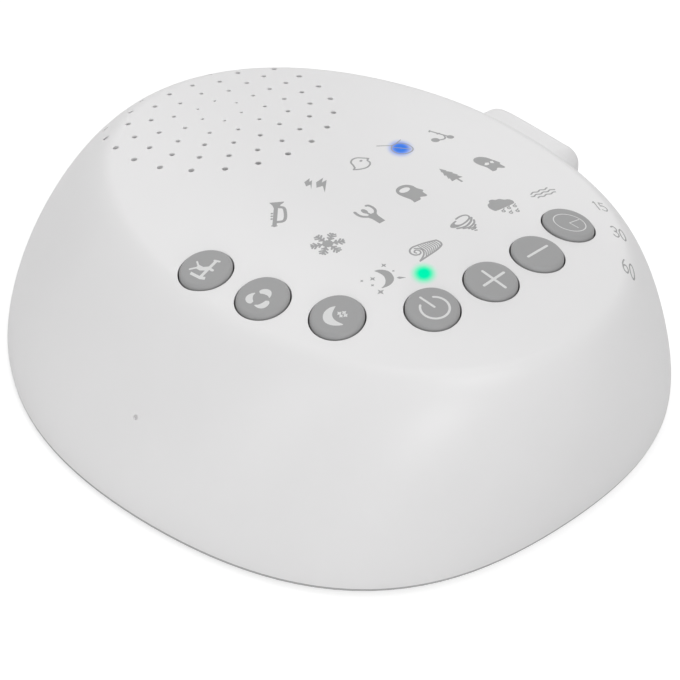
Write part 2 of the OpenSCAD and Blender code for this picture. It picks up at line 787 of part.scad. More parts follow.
module speaker_surround() {
    roll_r = (basket_mouth - cone_r) / 2 - 0.4;
    roll_mid = (basket_mouth + cone_r) / 2;
    t = 0.4;
    color("dimgray") speaker_place() rotate_extrude() {
        translate([roll_mid + roll_r - t, 0]) square([seat_in - 0.2 - roll_mid - roll_r + t, t]);
        translate([cone_r - 0.8, 0]) square([roll_mid - roll_r + t - cone_r + 0.8, t]);
        intersection() {
            difference() {
                translate([roll_mid, 0]) circle(r = roll_r);
                translate([roll_mid, 0]) circle(r = roll_r - t);
            }
            translate([roll_mid - roll_r, 0]) square([2 * roll_r, roll_r]);
        }
    }
}

module speaker_dust_cap() {
    ball_r = 10;
    cap_r = 7;
    t = 0.3;
    edge = (cap_r - coil_out) / (cone_r - 0.8 - coil_out) * cone_rise - cone_rise;
    mid = edge - sqrt(ball_r * ball_r - cap_r * cap_r);
    color("black") speaker_place() rotate_extrude() intersection() {
        difference() {
            translate([0, mid]) circle(r = ball_r);
            translate([0, mid]) circle(r = ball_r - t);
        }
        translate([0, edge]) square([cap_r, ball_r]);
    }
}

module speaker_terminals() {
    color("peru") speaker_place() translate([-4, -speaker_r + 0.3, -rim_t - 1]) cube([8, 2, 1]);
}

module speaker_gasket() {
    color("black") speaker_place() tube(speaker_r, seat_in, gasket_t);
}

module dust_cloth() {
    color("black") speaker_place() translate([0, 0, gasket_t]) cylinder(r = speaker_r - 0.6, h = cloth_t);
}

module speaker_washers() {
    color("silver") speaker_place() for (a = speaker_post_angles)
        rotate([0, 0, a]) translate([speaker_post_at, 0, -rim_t - washer_t])
            tube(washer_r, board_screw_r + 0.2, washer_t);
}

module speaker_screws() {
    color("silver") speaker_place() for (a = speaker_post_angles)
        rotate([0, 0, a]) translate([speaker_post_at, 0, -rim_t - washer_t])
            screw(board_screw_r, board_screw_l - 2, board_head_r, board_head_h);
}

// ---- sockets ----

module socket_board() {
    color("darkgreen") deck() difference() {
        translate([socket_back, pod_v - socket_board_half, socket_board_floor])
            cube([pod_inside - 0.4 - socket_back, 2 * socket_board_half, socket_board_t]);
        for (p = socket_post_places)
            translate([p[0], p[1], socket_board_floor - 1]) cylinder(r = board_screw_r + 0.2, h = socket_board_t + 2);
    }
}

module socket_board_screws() {
    color("silver") for (p = socket_post_places)
        deck_at(p, socket_board_floor) screw(board_screw_r, board_screw_l - 2, board_head_r, board_head_h);
}

module audio_socket() {
    body_end = pod_inside - 0.3;
    nose_end = pod_face - 0.2;
    color("black") deck() difference() {
        union() {
            translate([body_end - audio_l, audio_v - audio_w / 2, socket_board_top]) cube([audio_l, audio_w, audio_h]);
            translate([body_end, audio_v, audio_axis]) rotate([0, 90, 0])
                cylinder(r = audio_nose_r, h = nose_end - body_end);
        }
        translate([body_end - audio_l + 1, audio_v, audio_axis]) rotate([0, 90, 0])
            cylinder(r = audio_r, h = audio_l + pod_wall + 1);
    }
}

module power_socket() {
    color("silver") deck_at([pod_face - 0.4 - power_l, power_v], power_axis) rotate([90, 0, 90]) difference() {
        slot_plate(power_w, power_h, power_l);
        translate([0, 0, 1]) slot_plate(power_w - 2 * power_metal, power_h - 2 * power_metal, power_l);
    }
}

module power_socket_tongue() {
    color("black") deck_at([pod_face - 0.4 - power_l + 1, power_v], power_axis)
        translate([0, -3.3, -0.35]) cube([power_l - 2, 6.6, 0.7]);
}

socket_connector_size = [4, 7, 4];
socket_connector_place = [socket_back + 2.2, pod_v + 7];

module socket_connector() {
    color("ivory") deck_at(socket_connector_place, socket_board_floor - socket_connector_size[2])
        translate([-socket_connector_size[0] / 2, -socket_connector_size[1] / 2, 0]) cube(socket_connector_size);
}

// ---- leads ----

lead_r = 0.6;
lead_gap = 0.2;

module speaker_leads() {
    level = board_floor - speaker_connector_size[2] / 2;
    face = speaker_connector_place[1] + speaker_connector_size[1] / 2 + lead_gap;
    color("firebrick") for (side = [-1, 1]) {
        from = deck_point(side * 1.4, face, level);
        to = speaker_point(side * 2.4, -speaker_r + 1.3, -rim_t - 1 - lead_gap);
        below = speaker_point(side * 2.4, -speaker_r + 1.3, -rim_t - 3);
        lead([from, deck_point(side * 1.4, face + 2, level), from + [0, 5.5, -3], to + [0, -1.5, -6.5], below, to],
            lead_r);
    }
}

module power_leads() {
    pitch = 1.8;
    level = board_floor - power_connector_size[2] / 2;
    socket_level = socket_board_floor - socket_connector_size[2] / 2;
    face = power_connector_place[0] + power_connector_size[0] / 2 + lead_gap;
    socket_face = socket_connector_place[0] - socket_connector_size[0] / 2 - lead_gap;
    color("firebrick") for (wire = [-1:1]) {
        from = deck_point(face, power_connector_place[1] + wire * pitch, level);
        to = deck_point(socket_face, socket_connector_place[1] + wire * pitch, socket_level);
        turn = [-wire * pitch, -wire * pitch, 0];
        lead([from, from + [1.5, 0, 0], from + [4.6, 3.4, -3] + turn,
            to + [-4.6, -3.4, 0] + turn, to + [-1.5, 0, 0], to], lead_r);
    }
}

top_shell();
bottom_cover();
rubber_feet();
case_screws();
button_lullaby();
button_fan();
button_night();
button_power();
button_volume_up();
button_volume_down();
button_timer();
stem_lullaby();
stem_fan();
stem_night();
stem_power();
stem_volume_up();
stem_volume_down();
stem_timer();
switch_bodies();
switch_covers();
control_board();
board_screws();
sound_lights();
power_light();
timer_lights();
mark_light_guide();
single_light_guides();
control_chip();
sound_memory_chip();
amplifier_chip();
capacitors();
speaker_connector();
power_connector();
speaker_frame();
speaker_top_plate();
speaker_magnet();
speaker_yoke();
speaker_coil();
speaker_spider();
speaker_cone();
speaker_surround();
speaker_dust_cap();
speaker_terminals();
speaker_gasket();
dust_cloth();
speaker_washers();
speaker_screws();
socket_board();
socket_board_screws();
audio_socket();
power_socket();
power_socket_tongue();
socket_connector();
speaker_leads();
power_leads();
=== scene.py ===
import bmesh
import bpy
from math import atan2, cos, hypot, pi, radians, sin, tan
from mathutils import Matrix, Vector
from mathutils.bvhtree import BVHTree
from mathutils.geometry import delaunay_2d_cdt
from mathutils.kdtree import KDTree
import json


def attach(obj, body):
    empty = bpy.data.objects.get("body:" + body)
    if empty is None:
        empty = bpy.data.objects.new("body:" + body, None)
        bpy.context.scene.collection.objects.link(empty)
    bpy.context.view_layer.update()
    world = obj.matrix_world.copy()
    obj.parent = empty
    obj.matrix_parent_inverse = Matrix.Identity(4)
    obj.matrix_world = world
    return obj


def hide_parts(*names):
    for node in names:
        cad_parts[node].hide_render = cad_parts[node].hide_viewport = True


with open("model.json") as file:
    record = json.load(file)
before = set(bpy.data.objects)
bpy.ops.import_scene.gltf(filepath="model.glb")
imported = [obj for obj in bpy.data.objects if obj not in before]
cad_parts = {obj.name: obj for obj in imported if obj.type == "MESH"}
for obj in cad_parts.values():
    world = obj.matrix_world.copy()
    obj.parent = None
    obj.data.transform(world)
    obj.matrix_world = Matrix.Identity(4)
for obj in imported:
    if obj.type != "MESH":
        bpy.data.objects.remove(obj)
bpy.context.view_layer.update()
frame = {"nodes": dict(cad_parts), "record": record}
bpy.ops.object.select_all(action="DESELECT")

# ---- Top shell: its form ----
# One injection moulding in satin white ABS. The crown is a shallow dome that leans
# back by 8.4 degrees, and its egg-shaped outline turns into the rounder foot on the way down.
MM = 0.001
LEAN = radians(8.4)
RIM_Z, CROWN_H, SHIFT = 2, 42, 2.5
ROUND, RINGS = 256, 72
DECK_UP = Vector((0, sin(LEAN), cos(LEAN)))


def outline(a, share):
    """Distance of the outline from the middle: the crown's egg for a small share, the foot's round for 1."""
    crown = 72 - 4 * cos(a) + 13.6 * cos(2 * a) + 0.9 * cos(4 * a)
    foot = 72 + cos(2 * a) + 1.3 * cos(3 * a) + 1.2 * cos(5 * a)
    low = min(share, 1) ** 4.2
    return (1 - low) * crown + low * foot


def profile(t):
    """[share of the outline, height over the rim], 0 in the middle, 1 at the shoulder, 2 at the rim."""
    crown = ((0, CROWN_H), (0.35, CROWN_H), (0.497, 39.895), (0.71, 36.7))
    wall = ((0.71, 36.7), (0.8165, 35.1025), (1, 5.6), (1, 0))
    curve, s = (crown, t) if t < 1 else (wall, t - 1)
    weights = ((1 - s) ** 3, 3 * (1 - s) ** 2 * s, 3 * (1 - s) * s * s, s ** 3)
    return [sum(w * p[i] for w, p in zip(weights, curve)) for i in (0, 1)]


def skin_point(a, t):
    share, height = profile(t)
    r = share * outline(a, share)
    y = r * cos(a)
    return Vector((r * sin(a), y - SHIFT, RIM_Z + height * (1 - tan(LEAN) * y / CROWN_H))) * MM


bpy.ops.mesh.primitive_uv_sphere_add(segments=ROUND, ring_count=2 * RINGS, radius=1)
form = bpy.context.object
form.name = "shell_form"
bpy.ops.object.mode_set(mode="EDIT")
bpy.ops.mesh.select_all(action="SELECT")
bpy.ops.mesh.bisect(plane_co=(0, 0, 0.001), plane_no=(0, 0, 1), clear_inner=True)
bpy.ops.object.mode_set(mode="OBJECT")
for v in form.data.vertices:
    turn = atan2(hypot(v.co.x, v.co.y), max(v.co.z, 0)) / (pi / 2)
    v.co = skin_point(atan2(v.co.x, v.co.y), 2 * round(turn * RINGS) / RINGS)
bpy.ops.object.shade_smooth()
bpy.context.view_layer.update()
form_tree = BVHTree.FromObject(form, bpy.context.evaluated_depsgraph_get())


def deck_point(u, v, w=0.0):
    """Place on the plane that touches the crown in its middle and leans back with it."""
    return Vector((u, v * cos(LEAN) + w * sin(LEAN) - SHIFT,
                   RIM_Z + CROWN_H - v * sin(LEAN) + w * cos(LEAN))) * MM


def skin_height(u, v, above=10):
    """Height of the skin over the deck, in millimetres, below zero."""
    start = deck_point(u, v, above)
    hit = form_tree.ray_cast(start, -DECK_UP)[0]
    return above - (hit - start).length / MM


def skin_slope(u, v):
    """Rise of the skin over a millimetre along the deck, sideways and to the back."""
    return (skin_height(u + 0.5, v) - skin_height(u - 0.5, v),
            skin_height(u, v + 0.5) - skin_height(u, v - 0.5))


# ---- Top shell: its walls, pod and holes ----
# The posts, tubes and the wall's inside come with the tool's core. The pod for the sockets
# stands on the right-hand wall, and the wells and the grille's holes have softened mouths.
WALL, CORE_DEPTH, CORE_SKIRT = 1.6, 0.8, 3


def only(piece):
    bpy.ops.object.select_all(action="DESELECT")
    piece.select_set(True)
    bpy.context.view_layer.objects.active = piece


def edit(piece, action="SELECT"):
    only(piece)
    bpy.ops.object.mode_set(mode="EDIT")
    bpy.ops.mesh.select_all(action=action)


def edit_done():
    bpy.ops.object.mode_set(mode="OBJECT")


def copy_of(piece, name):
    twin = bpy.data.objects.new(name, piece.data.copy())
    bpy.context.scene.collection.objects.link(twin)
    return twin


def merged_copy(part, name):
    """Copy of a part of the frame with its loose triangles merged."""
    twin = copy_of(frame["nodes"][part], name)
    edit(twin)
    bpy.ops.mesh.remove_doubles(threshold=1e-6)
    edit_done()
    return twin


def apply_modifier(piece, kind, **values):
    only(piece)
    modifier = piece.modifiers.new(kind.lower(), kind)
    for name, value in values.items():
        setattr(modifier, name, value)
    bpy.ops.object.modifier_apply(modifier=modifier.name)


def combine(piece, tool, operation):
    apply_modifier(piece, "BOOLEAN", object=tool, operation=operation, solver="MANIFOLD")
    bpy.data.objects.remove(tool)


inside = merged_copy("top_shell", "shell_inside")
core = copy_of(form, "shell_core")
apply_modifier(core, "DISPLACE", strength=-CORE_DEPTH * MM, mid_level=0)
edit(core, "DESELECT")
bpy.ops.mesh.select_non_manifold()
bpy.ops.mesh.extrude_region_move(TRANSFORM_OT_translate={"value": (0, 0, -CORE_SKIRT * MM)})
bpy.ops.mesh.edge_face_add()
bpy.ops.mesh.select_all(action="SELECT")
bpy.ops.mesh.normals_make_consistent(inside=False)
edit_done()
combine(inside, core, "INTERSECT")

shell = copy_of(form, "shell")
apply_modifier(shell, "SOLIDIFY", thickness=WALL * MM, offset=-1, use_even_offset=True)


def block(name, centre, size):
    """Block that leans back with the deck."""
    bpy.ops.object.select_all(action="DESELECT")
    bpy.ops.mesh.primitive_cube_add(size=1)
    piece = bpy.context.object
    piece.name = name
    piece.matrix_world = (Matrix.Translation(deck_point(*centre)) @ Matrix.Rotation(-LEAN, 4, "X")
                          @ Matrix.Diagonal([side * MM for side in size] + [1]))
    bpy.ops.object.transform_apply()
    return piece


POD_FACE, POD_V = 62.796, 8
POD_SIZE, POD_MID = (16, 28.95, 15.6), (POD_FACE - 7.1, POD_V - 1.27, -22.8)
POD_EDGE, POD_FOOT = 4.5, -30.6
pod = block("pod", POD_MID, POD_SIZE)
edit(pod)
bpy.ops.mesh.bevel(offset=POD_EDGE * MM, segments=10, affect="EDGES")
bpy.ops.mesh.select_all(action="SELECT")
bpy.ops.mesh.subdivide(number_cuts=1)
edit_done()
apply_modifier(pod, "SUBSURF", subdivision_type="SIMPLE", levels=2, render_levels=2)


def pod_rise(v):
    """How far the pod's top stands over the plain block's: it climbs to the back, where its end drops."""
    return 0.04 * (v - 3) - 2.2 * max((v + 2) / 23, 0) ** 8


DECK_BACK = Vector((0, cos(LEAN), -sin(LEAN)))
for vertex in pod.data.vertices:
    v, w = [(vertex.co - deck_point(0, 0)).dot(way) / MM for way in (DECK_BACK, DECK_UP)]
    vertex.co += DECK_UP * MM * (w - POD_FOOT) / POD_SIZE[2] * pod_rise(v)
pod.data.update()
bpy.context.view_layer.update()
pod_tree = BVHTree.FromObject(pod, bpy.context.evaluated_depsgraph_get())
combine(shell, pod, "UNION")

# The corner between pod and wall is softened: its strip gets a finer mesh, which is then smoothed.
STRIP, SOFT, SMOOTHINGS, TOUCH = 3.4, 2.2, 24, 0.01
edit(shell)
mesh = bmesh.from_edit_mesh(shell.data)
corner = [v.co.copy() for v in mesh.verts
          if all(tree.find_nearest(v.co, TOUCH * MM)[0] is not None for tree in (form_tree, pod_tree))]
seam = KDTree(len(corner))
for i, place in enumerate(corner):
    seam.insert(place, i)
seam.balance()


def by_seam(vert, reach):
    """Whether a point of the outside is within reach of the corner between wall and pod."""
    at, out = form_tree.find_nearest(vert.co)[:2]
    return seam.find(vert.co)[2] < reach * MM and (vert.co - at).dot(out) > -0.02 * MM


strip = [f for f in mesh.faces if all(by_seam(v, STRIP) for v in f.verts)]
strip = bmesh.ops.triangulate(mesh, faces=strip)["faces"]
bmesh.ops.subdivide_edges(mesh, edges=list({e for f in strip for e in f.edges}), cuts=1)
soft = [v for v in mesh.verts if by_seam(v, SOFT)]
for turn in range(SMOOTHINGS):
    bmesh.ops.smooth_vert(mesh, verts=soft, factor=0.5, use_axis_x=True, use_axis_y=True, use_axis_z=True)
bmesh.update_edit_mesh(shell.data)
edit_done()


def join(pieces, name):
    bpy.ops.object.select_all(action="DESELECT")
    for piece in pieces:
        piece.select_set(True)
    bpy.context.view_layer.objects.active = pieces[0]
    bpy.ops.object.join()
    pieces[0].name = name
    return pieces[0]


def circle(u, v, r, sides, height):
    """Ring of points round a deck place, at a height or at a height that a function gives."""
    points = []
    for k in range(sides):
        x, y = u + r * cos(2 * pi * k / sides), v + r * sin(2 * pi * k / sides)
        points.append(deck_point(x, y, height(x, y) if callable(height) else height))
    return points


def loft(name, rings):
    """Closed form drawn up ring by ring from its first face."""
    bpy.ops.object.select_all(action="DESELECT")
    bpy.ops.mesh.primitive_circle_add(vertices=len(rings[0]), radius=MM, fill_type="NGON")
    piece = bpy.context.object
    piece.name = name
    order = piece.data.attributes.new("order", "INT", "POINT")
    for v in piece.data.vertices:
        order.data[v.index].value = v.index
        v.co = rings[0][v.index]
    bpy.ops.object.mode_set(mode="EDIT")
    bpy.ops.mesh.select_all(action="SELECT")
    for ring in rings[1:]:
        bpy.ops.mesh.extrude_region_move()
        mesh = bmesh.from_edit_mesh(piece.data)
        layer = mesh.verts.layers.int["order"]
        for v in mesh.verts:
            if v.select:
                v.co = ring[v[layer]]
        bmesh.update_edit_mesh(piece.data)
    bpy.ops.mesh.select_all(action="SELECT")
    bpy.ops.mesh.normals_make_consistent(inside=False)
    edit_done()
    piece.data.attributes.remove(piece.data.attributes["order"])
    return piece


def bars(name, places, r, sides, bottom, top):
    """Round bars that lean with the deck, one at each place, joined to one tool."""
    return join([loft(name, [circle(u, v, r, sides, w) for w in (bottom, top)]) for u, v in places], name)


POD_WALL, HOLLOW_SIZE, HOLLOW_TOP, HOLLOW_EDGE = 1.8, (18.2, 24.4, 14), -18.6, 3
SOCKET_POSTS = [(POD_FACE - 15.5, POD_V - 0.4), (POD_FACE - 5.2, POD_V - 0.4)]
POST_R, PILOT_R = 2.2, 1.07
HOLLOW_MID = (POD_FACE - POD_WALL - HOLLOW_SIZE[0] / 2, POD_V, HOLLOW_TOP - HOLLOW_SIZE[2] / 2)
hollow = block("hollow", HOLLOW_MID, HOLLOW_SIZE)
edit(hollow)
mesh = bmesh.from_edit_mesh(hollow.data)
for edge in mesh.edges:
    (u0, w0), (u1, w1) = [(v.co.x / MM, (v.co - deck_point(0, 0)).dot(DECK_UP) / MM) for v in edge.verts]
    edge.select_set(abs(u0 - u1) > HOLLOW_SIZE[0] / 2 and max(w0, w1) > HOLLOW_TOP - 1)
bmesh.update_edit_mesh(hollow.data)
bpy.ops.mesh.bevel(offset=HOLLOW_EDGE * MM, segments=6, affect="EDGES")
edit_done()
combine(hollow, bars("posts", SOCKET_POSTS, POST_R, 48, -23.9, 0), "DIFFERENCE")
combine(shell, hollow, "DIFFERENCE")
combine(shell, inside, "UNION")

KEY_PLACES = {"lullaby": (-40, 0.6), "fan": (-38, -14.2), "night": (-31.8, -28.8), "power": (-17.2, -40),
              "volume_up": (-2.9, -41.7), "volume_down": (10.9, -41.1), "timer": (24.1, -37.3)}
KEYS_U, KEYS_V = 0.24, 0.25
KEY_PLACES = {name: (u + KEYS_U, v + KEYS_V) for name, (u, v) in KEY_PLACES.items()}
WELL_R, WELL_FLOOR, WELL_SIDES, ROUNDING, PAST_SKIN = 5.64, -11.2, 96, 0.12, 0.012
wells = []
for u, v in KEY_PLACES.values():
    rings = [circle(u, v, WELL_R, WELL_SIDES, WELL_FLOOR)]
    for step in range(7):
        turn = radians(step * 14.5)
        rings.append(circle(u, v, WELL_R + ROUNDING * (1 - cos(turn)), WELL_SIDES,
                            lambda x, y: skin_height(x, y) - ROUNDING * (1 - sin(turn)) + PAST_SKIN))
    rings.append(circle(u, v, WELL_R + ROUNDING, WELL_SIDES, 4))
    wells.append(loft("well", rings))
combine(shell, join(wells, "wells"), "DIFFERENCE")

# Light guides reach up into pockets, and the wall left over each pocket lets the light through.
MARK_MID, MARK_DX, MARK_DY = (5.1, -10.9), 11.7, 15.1
LIGHT_PLACES = [(MARK_MID[0] + i * MARK_DX, MARK_MID[1] + j * MARK_DY)
                for j in (-1, 0, 1) for i in (-2, -1, 0, 1, 2)]
# The power light and the timer's three.
LIGHT_PLACES += [(-11.3, -31.5), (35.5, -33), (32, -42.5), (25.5, -51)]
POCKET_R, POCKET_DEPTH, LEFT_OVER = 1.27, 3, 0.9
pockets = []
for u, v in LIGHT_PLACES:
    top = skin_height(u, v) - LEFT_OVER - 1.2 * hypot(*skin_slope(u, v))
    pockets.append(loft("pocket", [circle(u, v, POCKET_R, 24, w) for w in (top - POCKET_DEPTH, top)]))
combine(shell, join(pockets, "pockets"), "DIFFERENCE")

# Each ring of the grille: how many holes, where the first one stands, and their radius.
GRILLE_RINGS = ((6, 28.5, 0.3), (10, 17.1, 0.41), (15, 17.2, 0.49), (20, -0.9, 0.53), (22, 5.4, 0.6))
GRILLE_MID, RING_PITCH, HOLE_SIDES, HOLE_DEPTH = (-0.93, 39.1), 4.9, 20, 5.5
OVER_ALL, DOWN = 0.08, Vector((0, 0, -1))
holes = []
for ring, (count, turn, r) in enumerate(GRILLE_RINGS, 1):
    for k in range(count):
        a = radians(turn + 360 * k / count)
        x = (ring * RING_PITCH * sin(a) + GRILLE_MID[0]) * MM
        y = (GRILLE_MID[1] + ring * RING_PITCH * cos(a)) * MM
        centre = form_tree.ray_cast(Vector((x, y, OVER_ALL)), DOWN)[0]
        around = [2 * pi * j / HOLE_SIDES for j in range(HOLE_SIDES)]
        rings = [[Vector((x + r * MM * cos(b), y + r * MM * sin(b), centre.z - HOLE_DEPTH * MM))
                  for b in around]]
        for wide, lift in ((r, -0.2), (r + 0.07, -0.06), (r + 0.2, 0.01), (r + 0.2, 1)):
            points = []
            for b in around:
                at = Vector((x + wide * MM * cos(b), y + wide * MM * sin(b), OVER_ALL))
                hit = form_tree.ray_cast(at, DOWN)[0]
                points.append(Vector((at.x, at.y, hit.z + lift * MM)))
            rings.append(points)
        holes.append(loft("hole", rings))
combine(shell, join(holes, "holes"), "DIFFERENCE")

MOUTH_REACH = 5


def socket_mouth(place, points):
    """Cutter that goes through the pod's face, with an outline round its axis."""
    return loft("mouth", [[deck_point(x, place[0] + p[0], place[1] + p[1]) for p in points]
                          for x in (POD_FACE - MOUTH_REACH, POD_FACE + MOUTH_REACH)])


JACK_AXIS, JACK_R = (2, -21.4), 2.75
POWER_AXIS, SLOT_R, SLOT_HALF = (14.5, -22.3), 1.75, 2.85
jack_mouth = [(JACK_R * cos(2 * pi * k / 48), JACK_R * sin(2 * pi * k / 48)) for k in range(48)]
slot_end = [(SLOT_R * cos(radians(a)), SLOT_R * sin(radians(a))) for a in range(-90, 91, 15)]
slot_mouth = [(SLOT_HALF + y, z) for y, z in slot_end] + [(-SLOT_HALF - y, -z) for y, z in slot_end]
combine(shell, socket_mouth(JACK_AXIS, jack_mouth), "DIFFERENCE")
combine(shell, socket_mouth(POWER_AXIS, slot_mouth), "DIFFERENCE")
combine(shell, bars("pilots", SOCKET_POSTS, PILOT_R, 24, -25, -20.4), "DIFFERENCE")

PIN_PLACE, PIN_R, PIN_DEPTH = Vector((-62.1, -9.9, 17.9)), 0.55, 1.1
spot, out = form_tree.find_nearest(PIN_PLACE * MM)[:2]
bpy.ops.object.select_all(action="DESELECT")
bpy.ops.mesh.primitive_cylinder_add(vertices=24, radius=PIN_R * MM, depth=PIN_DEPTH * MM, location=spot,
                                    rotation=out.to_track_quat("Z", "Y").to_euler())
bpy.ops.object.transform_apply()
combine(shell, bpy.context.object, "DIFFERENCE")


def smooth_by_angle(piece, degrees):
    only(piece)
    bpy.ops.object.shade_smooth_by_angle(angle=radians(degrees))


smooth_by_angle(shell, 32)
for edge in shell.data.edges:
    if all(by_seam(shell.data.vertices[i], STRIP) for i in edge.vertices):
        edge.use_edge_sharp = False
skin_group = shell.vertex_groups.new(name="skin")
on_skin = [v.index for v in shell.data.vertices if form_tree.find_nearest(v.co, 0.004 * MM)[0] is not None]
skin_group.add(on_skin, 1.0, "REPLACE")
apply_modifier(shell, "DATA_TRANSFER", object=form, use_loop_data=True, data_types_loops={"CUSTOM_NORMAL"},
               loop_mapping="POLYINTERP_NEAREST", vertex_group="skin")
bpy.data.objects.remove(form)
shell.name = "shell"
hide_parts("top_shell")
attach(shell, "case")

# ---- Top shell: its finish ----
# Satin white plastic with the fine grain of a bead-blasted tool. Two lights show through it:
# the blue one under the chosen sound's mark and the green one behind the power key.


def node(tree, kind, links=(), **values):
    """Shader node with its values set and its inputs linked."""
    made = tree.nodes.new(kind)
    for name, value in values.items():
        if hasattr(made, name):
            setattr(made, name, value)
        else:
            made.inputs[name.replace("_", " ")].default_value = value
    for socket, source in dict(links).items():
        tree.links.new(source, made.inputs[socket])
    return made


def finish(name, colour, roughness=0.5, metallic=0.0, grain=1500, depth=0.01, tone=0.04, spread=0.06,
           patch=60, **more):
    """Material with a fine surface grain of a depth in millimetres, and a slow drift of tone and gloss."""
    material = bpy.data.materials.new(name)
    material.use_nodes = True
    tree = material.node_tree
    shader = tree.nodes["Principled BSDF"]
    shader.inputs["Metallic"].default_value = metallic
    for socket, value in more.items():
        shader.inputs[socket.replace("_", " ")].default_value = value
    place = node(tree, "ShaderNodeTexCoord").outputs["Object"]
    slow = node(tree, "ShaderNodeTexNoise", {"Vector": place}, Scale=patch, Detail=3.0, Roughness=0.55)
    fine = node(tree, "ShaderNodeTexNoise", {"Vector": place}, Scale=grain, Detail=2.0, Roughness=0.6)
    low = [c * (1 - tone) for c in colour]
    high = [min(c * (1 + tone), 1) for c in colour]
    ramp = node(tree, "ShaderNodeValToRGB", {"Fac": slow.outputs["Fac"]})
    ramp.color_ramp.elements[0].position = 0.3
    ramp.color_ramp.elements[0].color = (*low, 1)
    ramp.color_ramp.elements[1].position = 0.7
    ramp.color_ramp.elements[1].color = (*high, 1)
    tree.links.new(ramp.outputs["Color"], shader.inputs["Base Color"])
    gloss = node(tree, "ShaderNodeMapRange", {"Value": slow.outputs["Fac"]})
    gloss.inputs["To Min"].default_value = roughness - spread
    gloss.inputs["To Max"].default_value = roughness + spread
    tree.links.new(gloss.outputs["Result"], shader.inputs["Roughness"])
    bump = node(tree, "ShaderNodeBump", {"Height": fine.outputs["Fac"]}, Strength=1.0, Distance=depth * MM)
    tree.links.new(bump.outputs["Normal"], shader.inputs["Normal"])
    return material


def glow(material, centre, radius, stretch, body, light):
    """Soft round spot of light that shows through the wall."""
    tree = material.node_tree
    shader = tree.nodes["Principled BSDF"]
    place = node(tree, "ShaderNodeTexCoord").outputs["Object"]
    flat = node(tree, "ShaderNodeMapping", {"Vector": place}, vector_type="TEXTURE")
    flat.inputs["Location"].default_value = centre
    flat.inputs["Rotation"].default_value = (0, 0, radians(42))
    flat.inputs["Scale"].default_value = (stretch, 1, 1)
    reach = node(tree, "ShaderNodeVectorMath", {0: flat.outputs["Vector"]}, operation="LENGTH")
    mask = node(tree, "ShaderNodeMapRange", {"Value": reach.outputs["Value"]},
                interpolation_type="SMOOTHERSTEP")
    mask.inputs["From Min"].default_value = radius * 0.22
    mask.inputs["From Max"].default_value = radius
    mask.inputs["To Min"].default_value = 1.0
    mask.inputs["To Max"].default_value = 0.0
    for socket, lit in (("Base Color", body), ("Emission Color", light)):
        mix = node(tree, "ShaderNodeMix", {"Factor": mask.outputs["Result"]}, data_type="RGBA")
        if shader.inputs[socket].links:
            tree.links.new(shader.inputs[socket].links[0].from_socket, mix.inputs[6])
        else:
            mix.inputs[6].default_value = (0, 0, 0, 1)
        mix.inputs[7].default_value = (*lit, 1)
        tree.links.new(mix.outputs[2], shader.inputs[socket])
    dull = node(tree, "ShaderNodeMath", {0: mask.outputs["Result"]}, operation="MULTIPLY_ADD")
    dull.inputs[1].default_value = -0.5
    dull.inputs[2].default_value = 0.5
    shine = shader.inputs["Specular IOR Level"]
    if shine.links:
        dull = node(tree, "ShaderNodeMath", {0: dull.outputs[0], 1: shine.links[0].from_socket},
                    operation="MINIMUM")
    tree.links.new(dull.outputs[0], shine)
    shader.inputs["Emission Strength"].default_value = 1.0


def paint(piece, material):
    piece.data.materials.clear()
    piece.data.materials.append(material)


white = finish("white_shell", (0.802, 0.797, 0.80), roughness=0.38, grain=2200, depth=0.006, tone=0.006,
               spread=0.03)
CHOSEN_SOUND, POWER_LIGHT = Vector((16.0, 0.9, 43.0)), Vector((-11.3, -33.9, 47.2))
glow(white, CHOSEN_SOUND * MM, 3.5 * MM, 1.35, body=(0.02, 0.13, 0.45), light=(0.04, 0.10, 0.42))
glow(white, POWER_LIGHT * MM, 3.3 * MM, 1.2, body=(0.0, 0.60, 0.28), light=(0.0, 0.38, 0.20))
paint(shell, white)

# ---- Bottom cover ----
# Moulded plate in grey plastic with cups for the screws and pads for the feet. Its flange
# closes the foot of the case and shows as a thin dark line under the rim. The plate's grey is set
# darker than the base plastic, so that this line also carries painted shade from the gap under the rim.


def foot_ring(depth, z):
    """Ring that follows the foot of the case, a little way in."""
    points = []
    for k in range(128):
        a = 2 * pi * k / 128
        r = outline(a, 1) - depth
        points.append(Vector((r * sin(a), r * cos(a) - SHIFT, z)) * MM)
    return points


FLANGE_W, FLANGE_EDGE = 3.2, ((0.5, 1.1), (0.15, 1.25), (0.15, 1.9))
cover = merged_copy("bottom_cover", "cover")
flange = loft("flange", [foot_ring(depth, z) for depth, z in FLANGE_EDGE])
combine(flange, loft("flange_inside", [foot_ring(FLANGE_W, z) for z in (0.5, 3)]), "DIFFERENCE")
combine(cover, flange, "UNION")
smooth_by_angle(cover, 30)
# The darker grey is partly the plate's own grey and partly painted shade for the gap under the rim.
paint(cover, finish("cover_grey_and_gap_shade", (0.42, 0.42, 0.422), roughness=0.5, grain=1800, depth=0.012, tone=0.02))
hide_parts("bottom_cover")
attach(cover, "case")

# ---- Keys ----
# Seven round caps moulded in matt grey. Each has a soft edge, a top that follows the crown,
# a rim that holds it in its well and a post that presses its switch.
grey = finish("key_grey", (0.33, 0.33, 0.332), roughness=0.55, grain=2600, depth=0.012, tone=0.02,
              spread=0.04)
KEY_R, KEY_PROUD, EDGE, KEY_SIDES = 5.36, 0.85, 0.75, 48
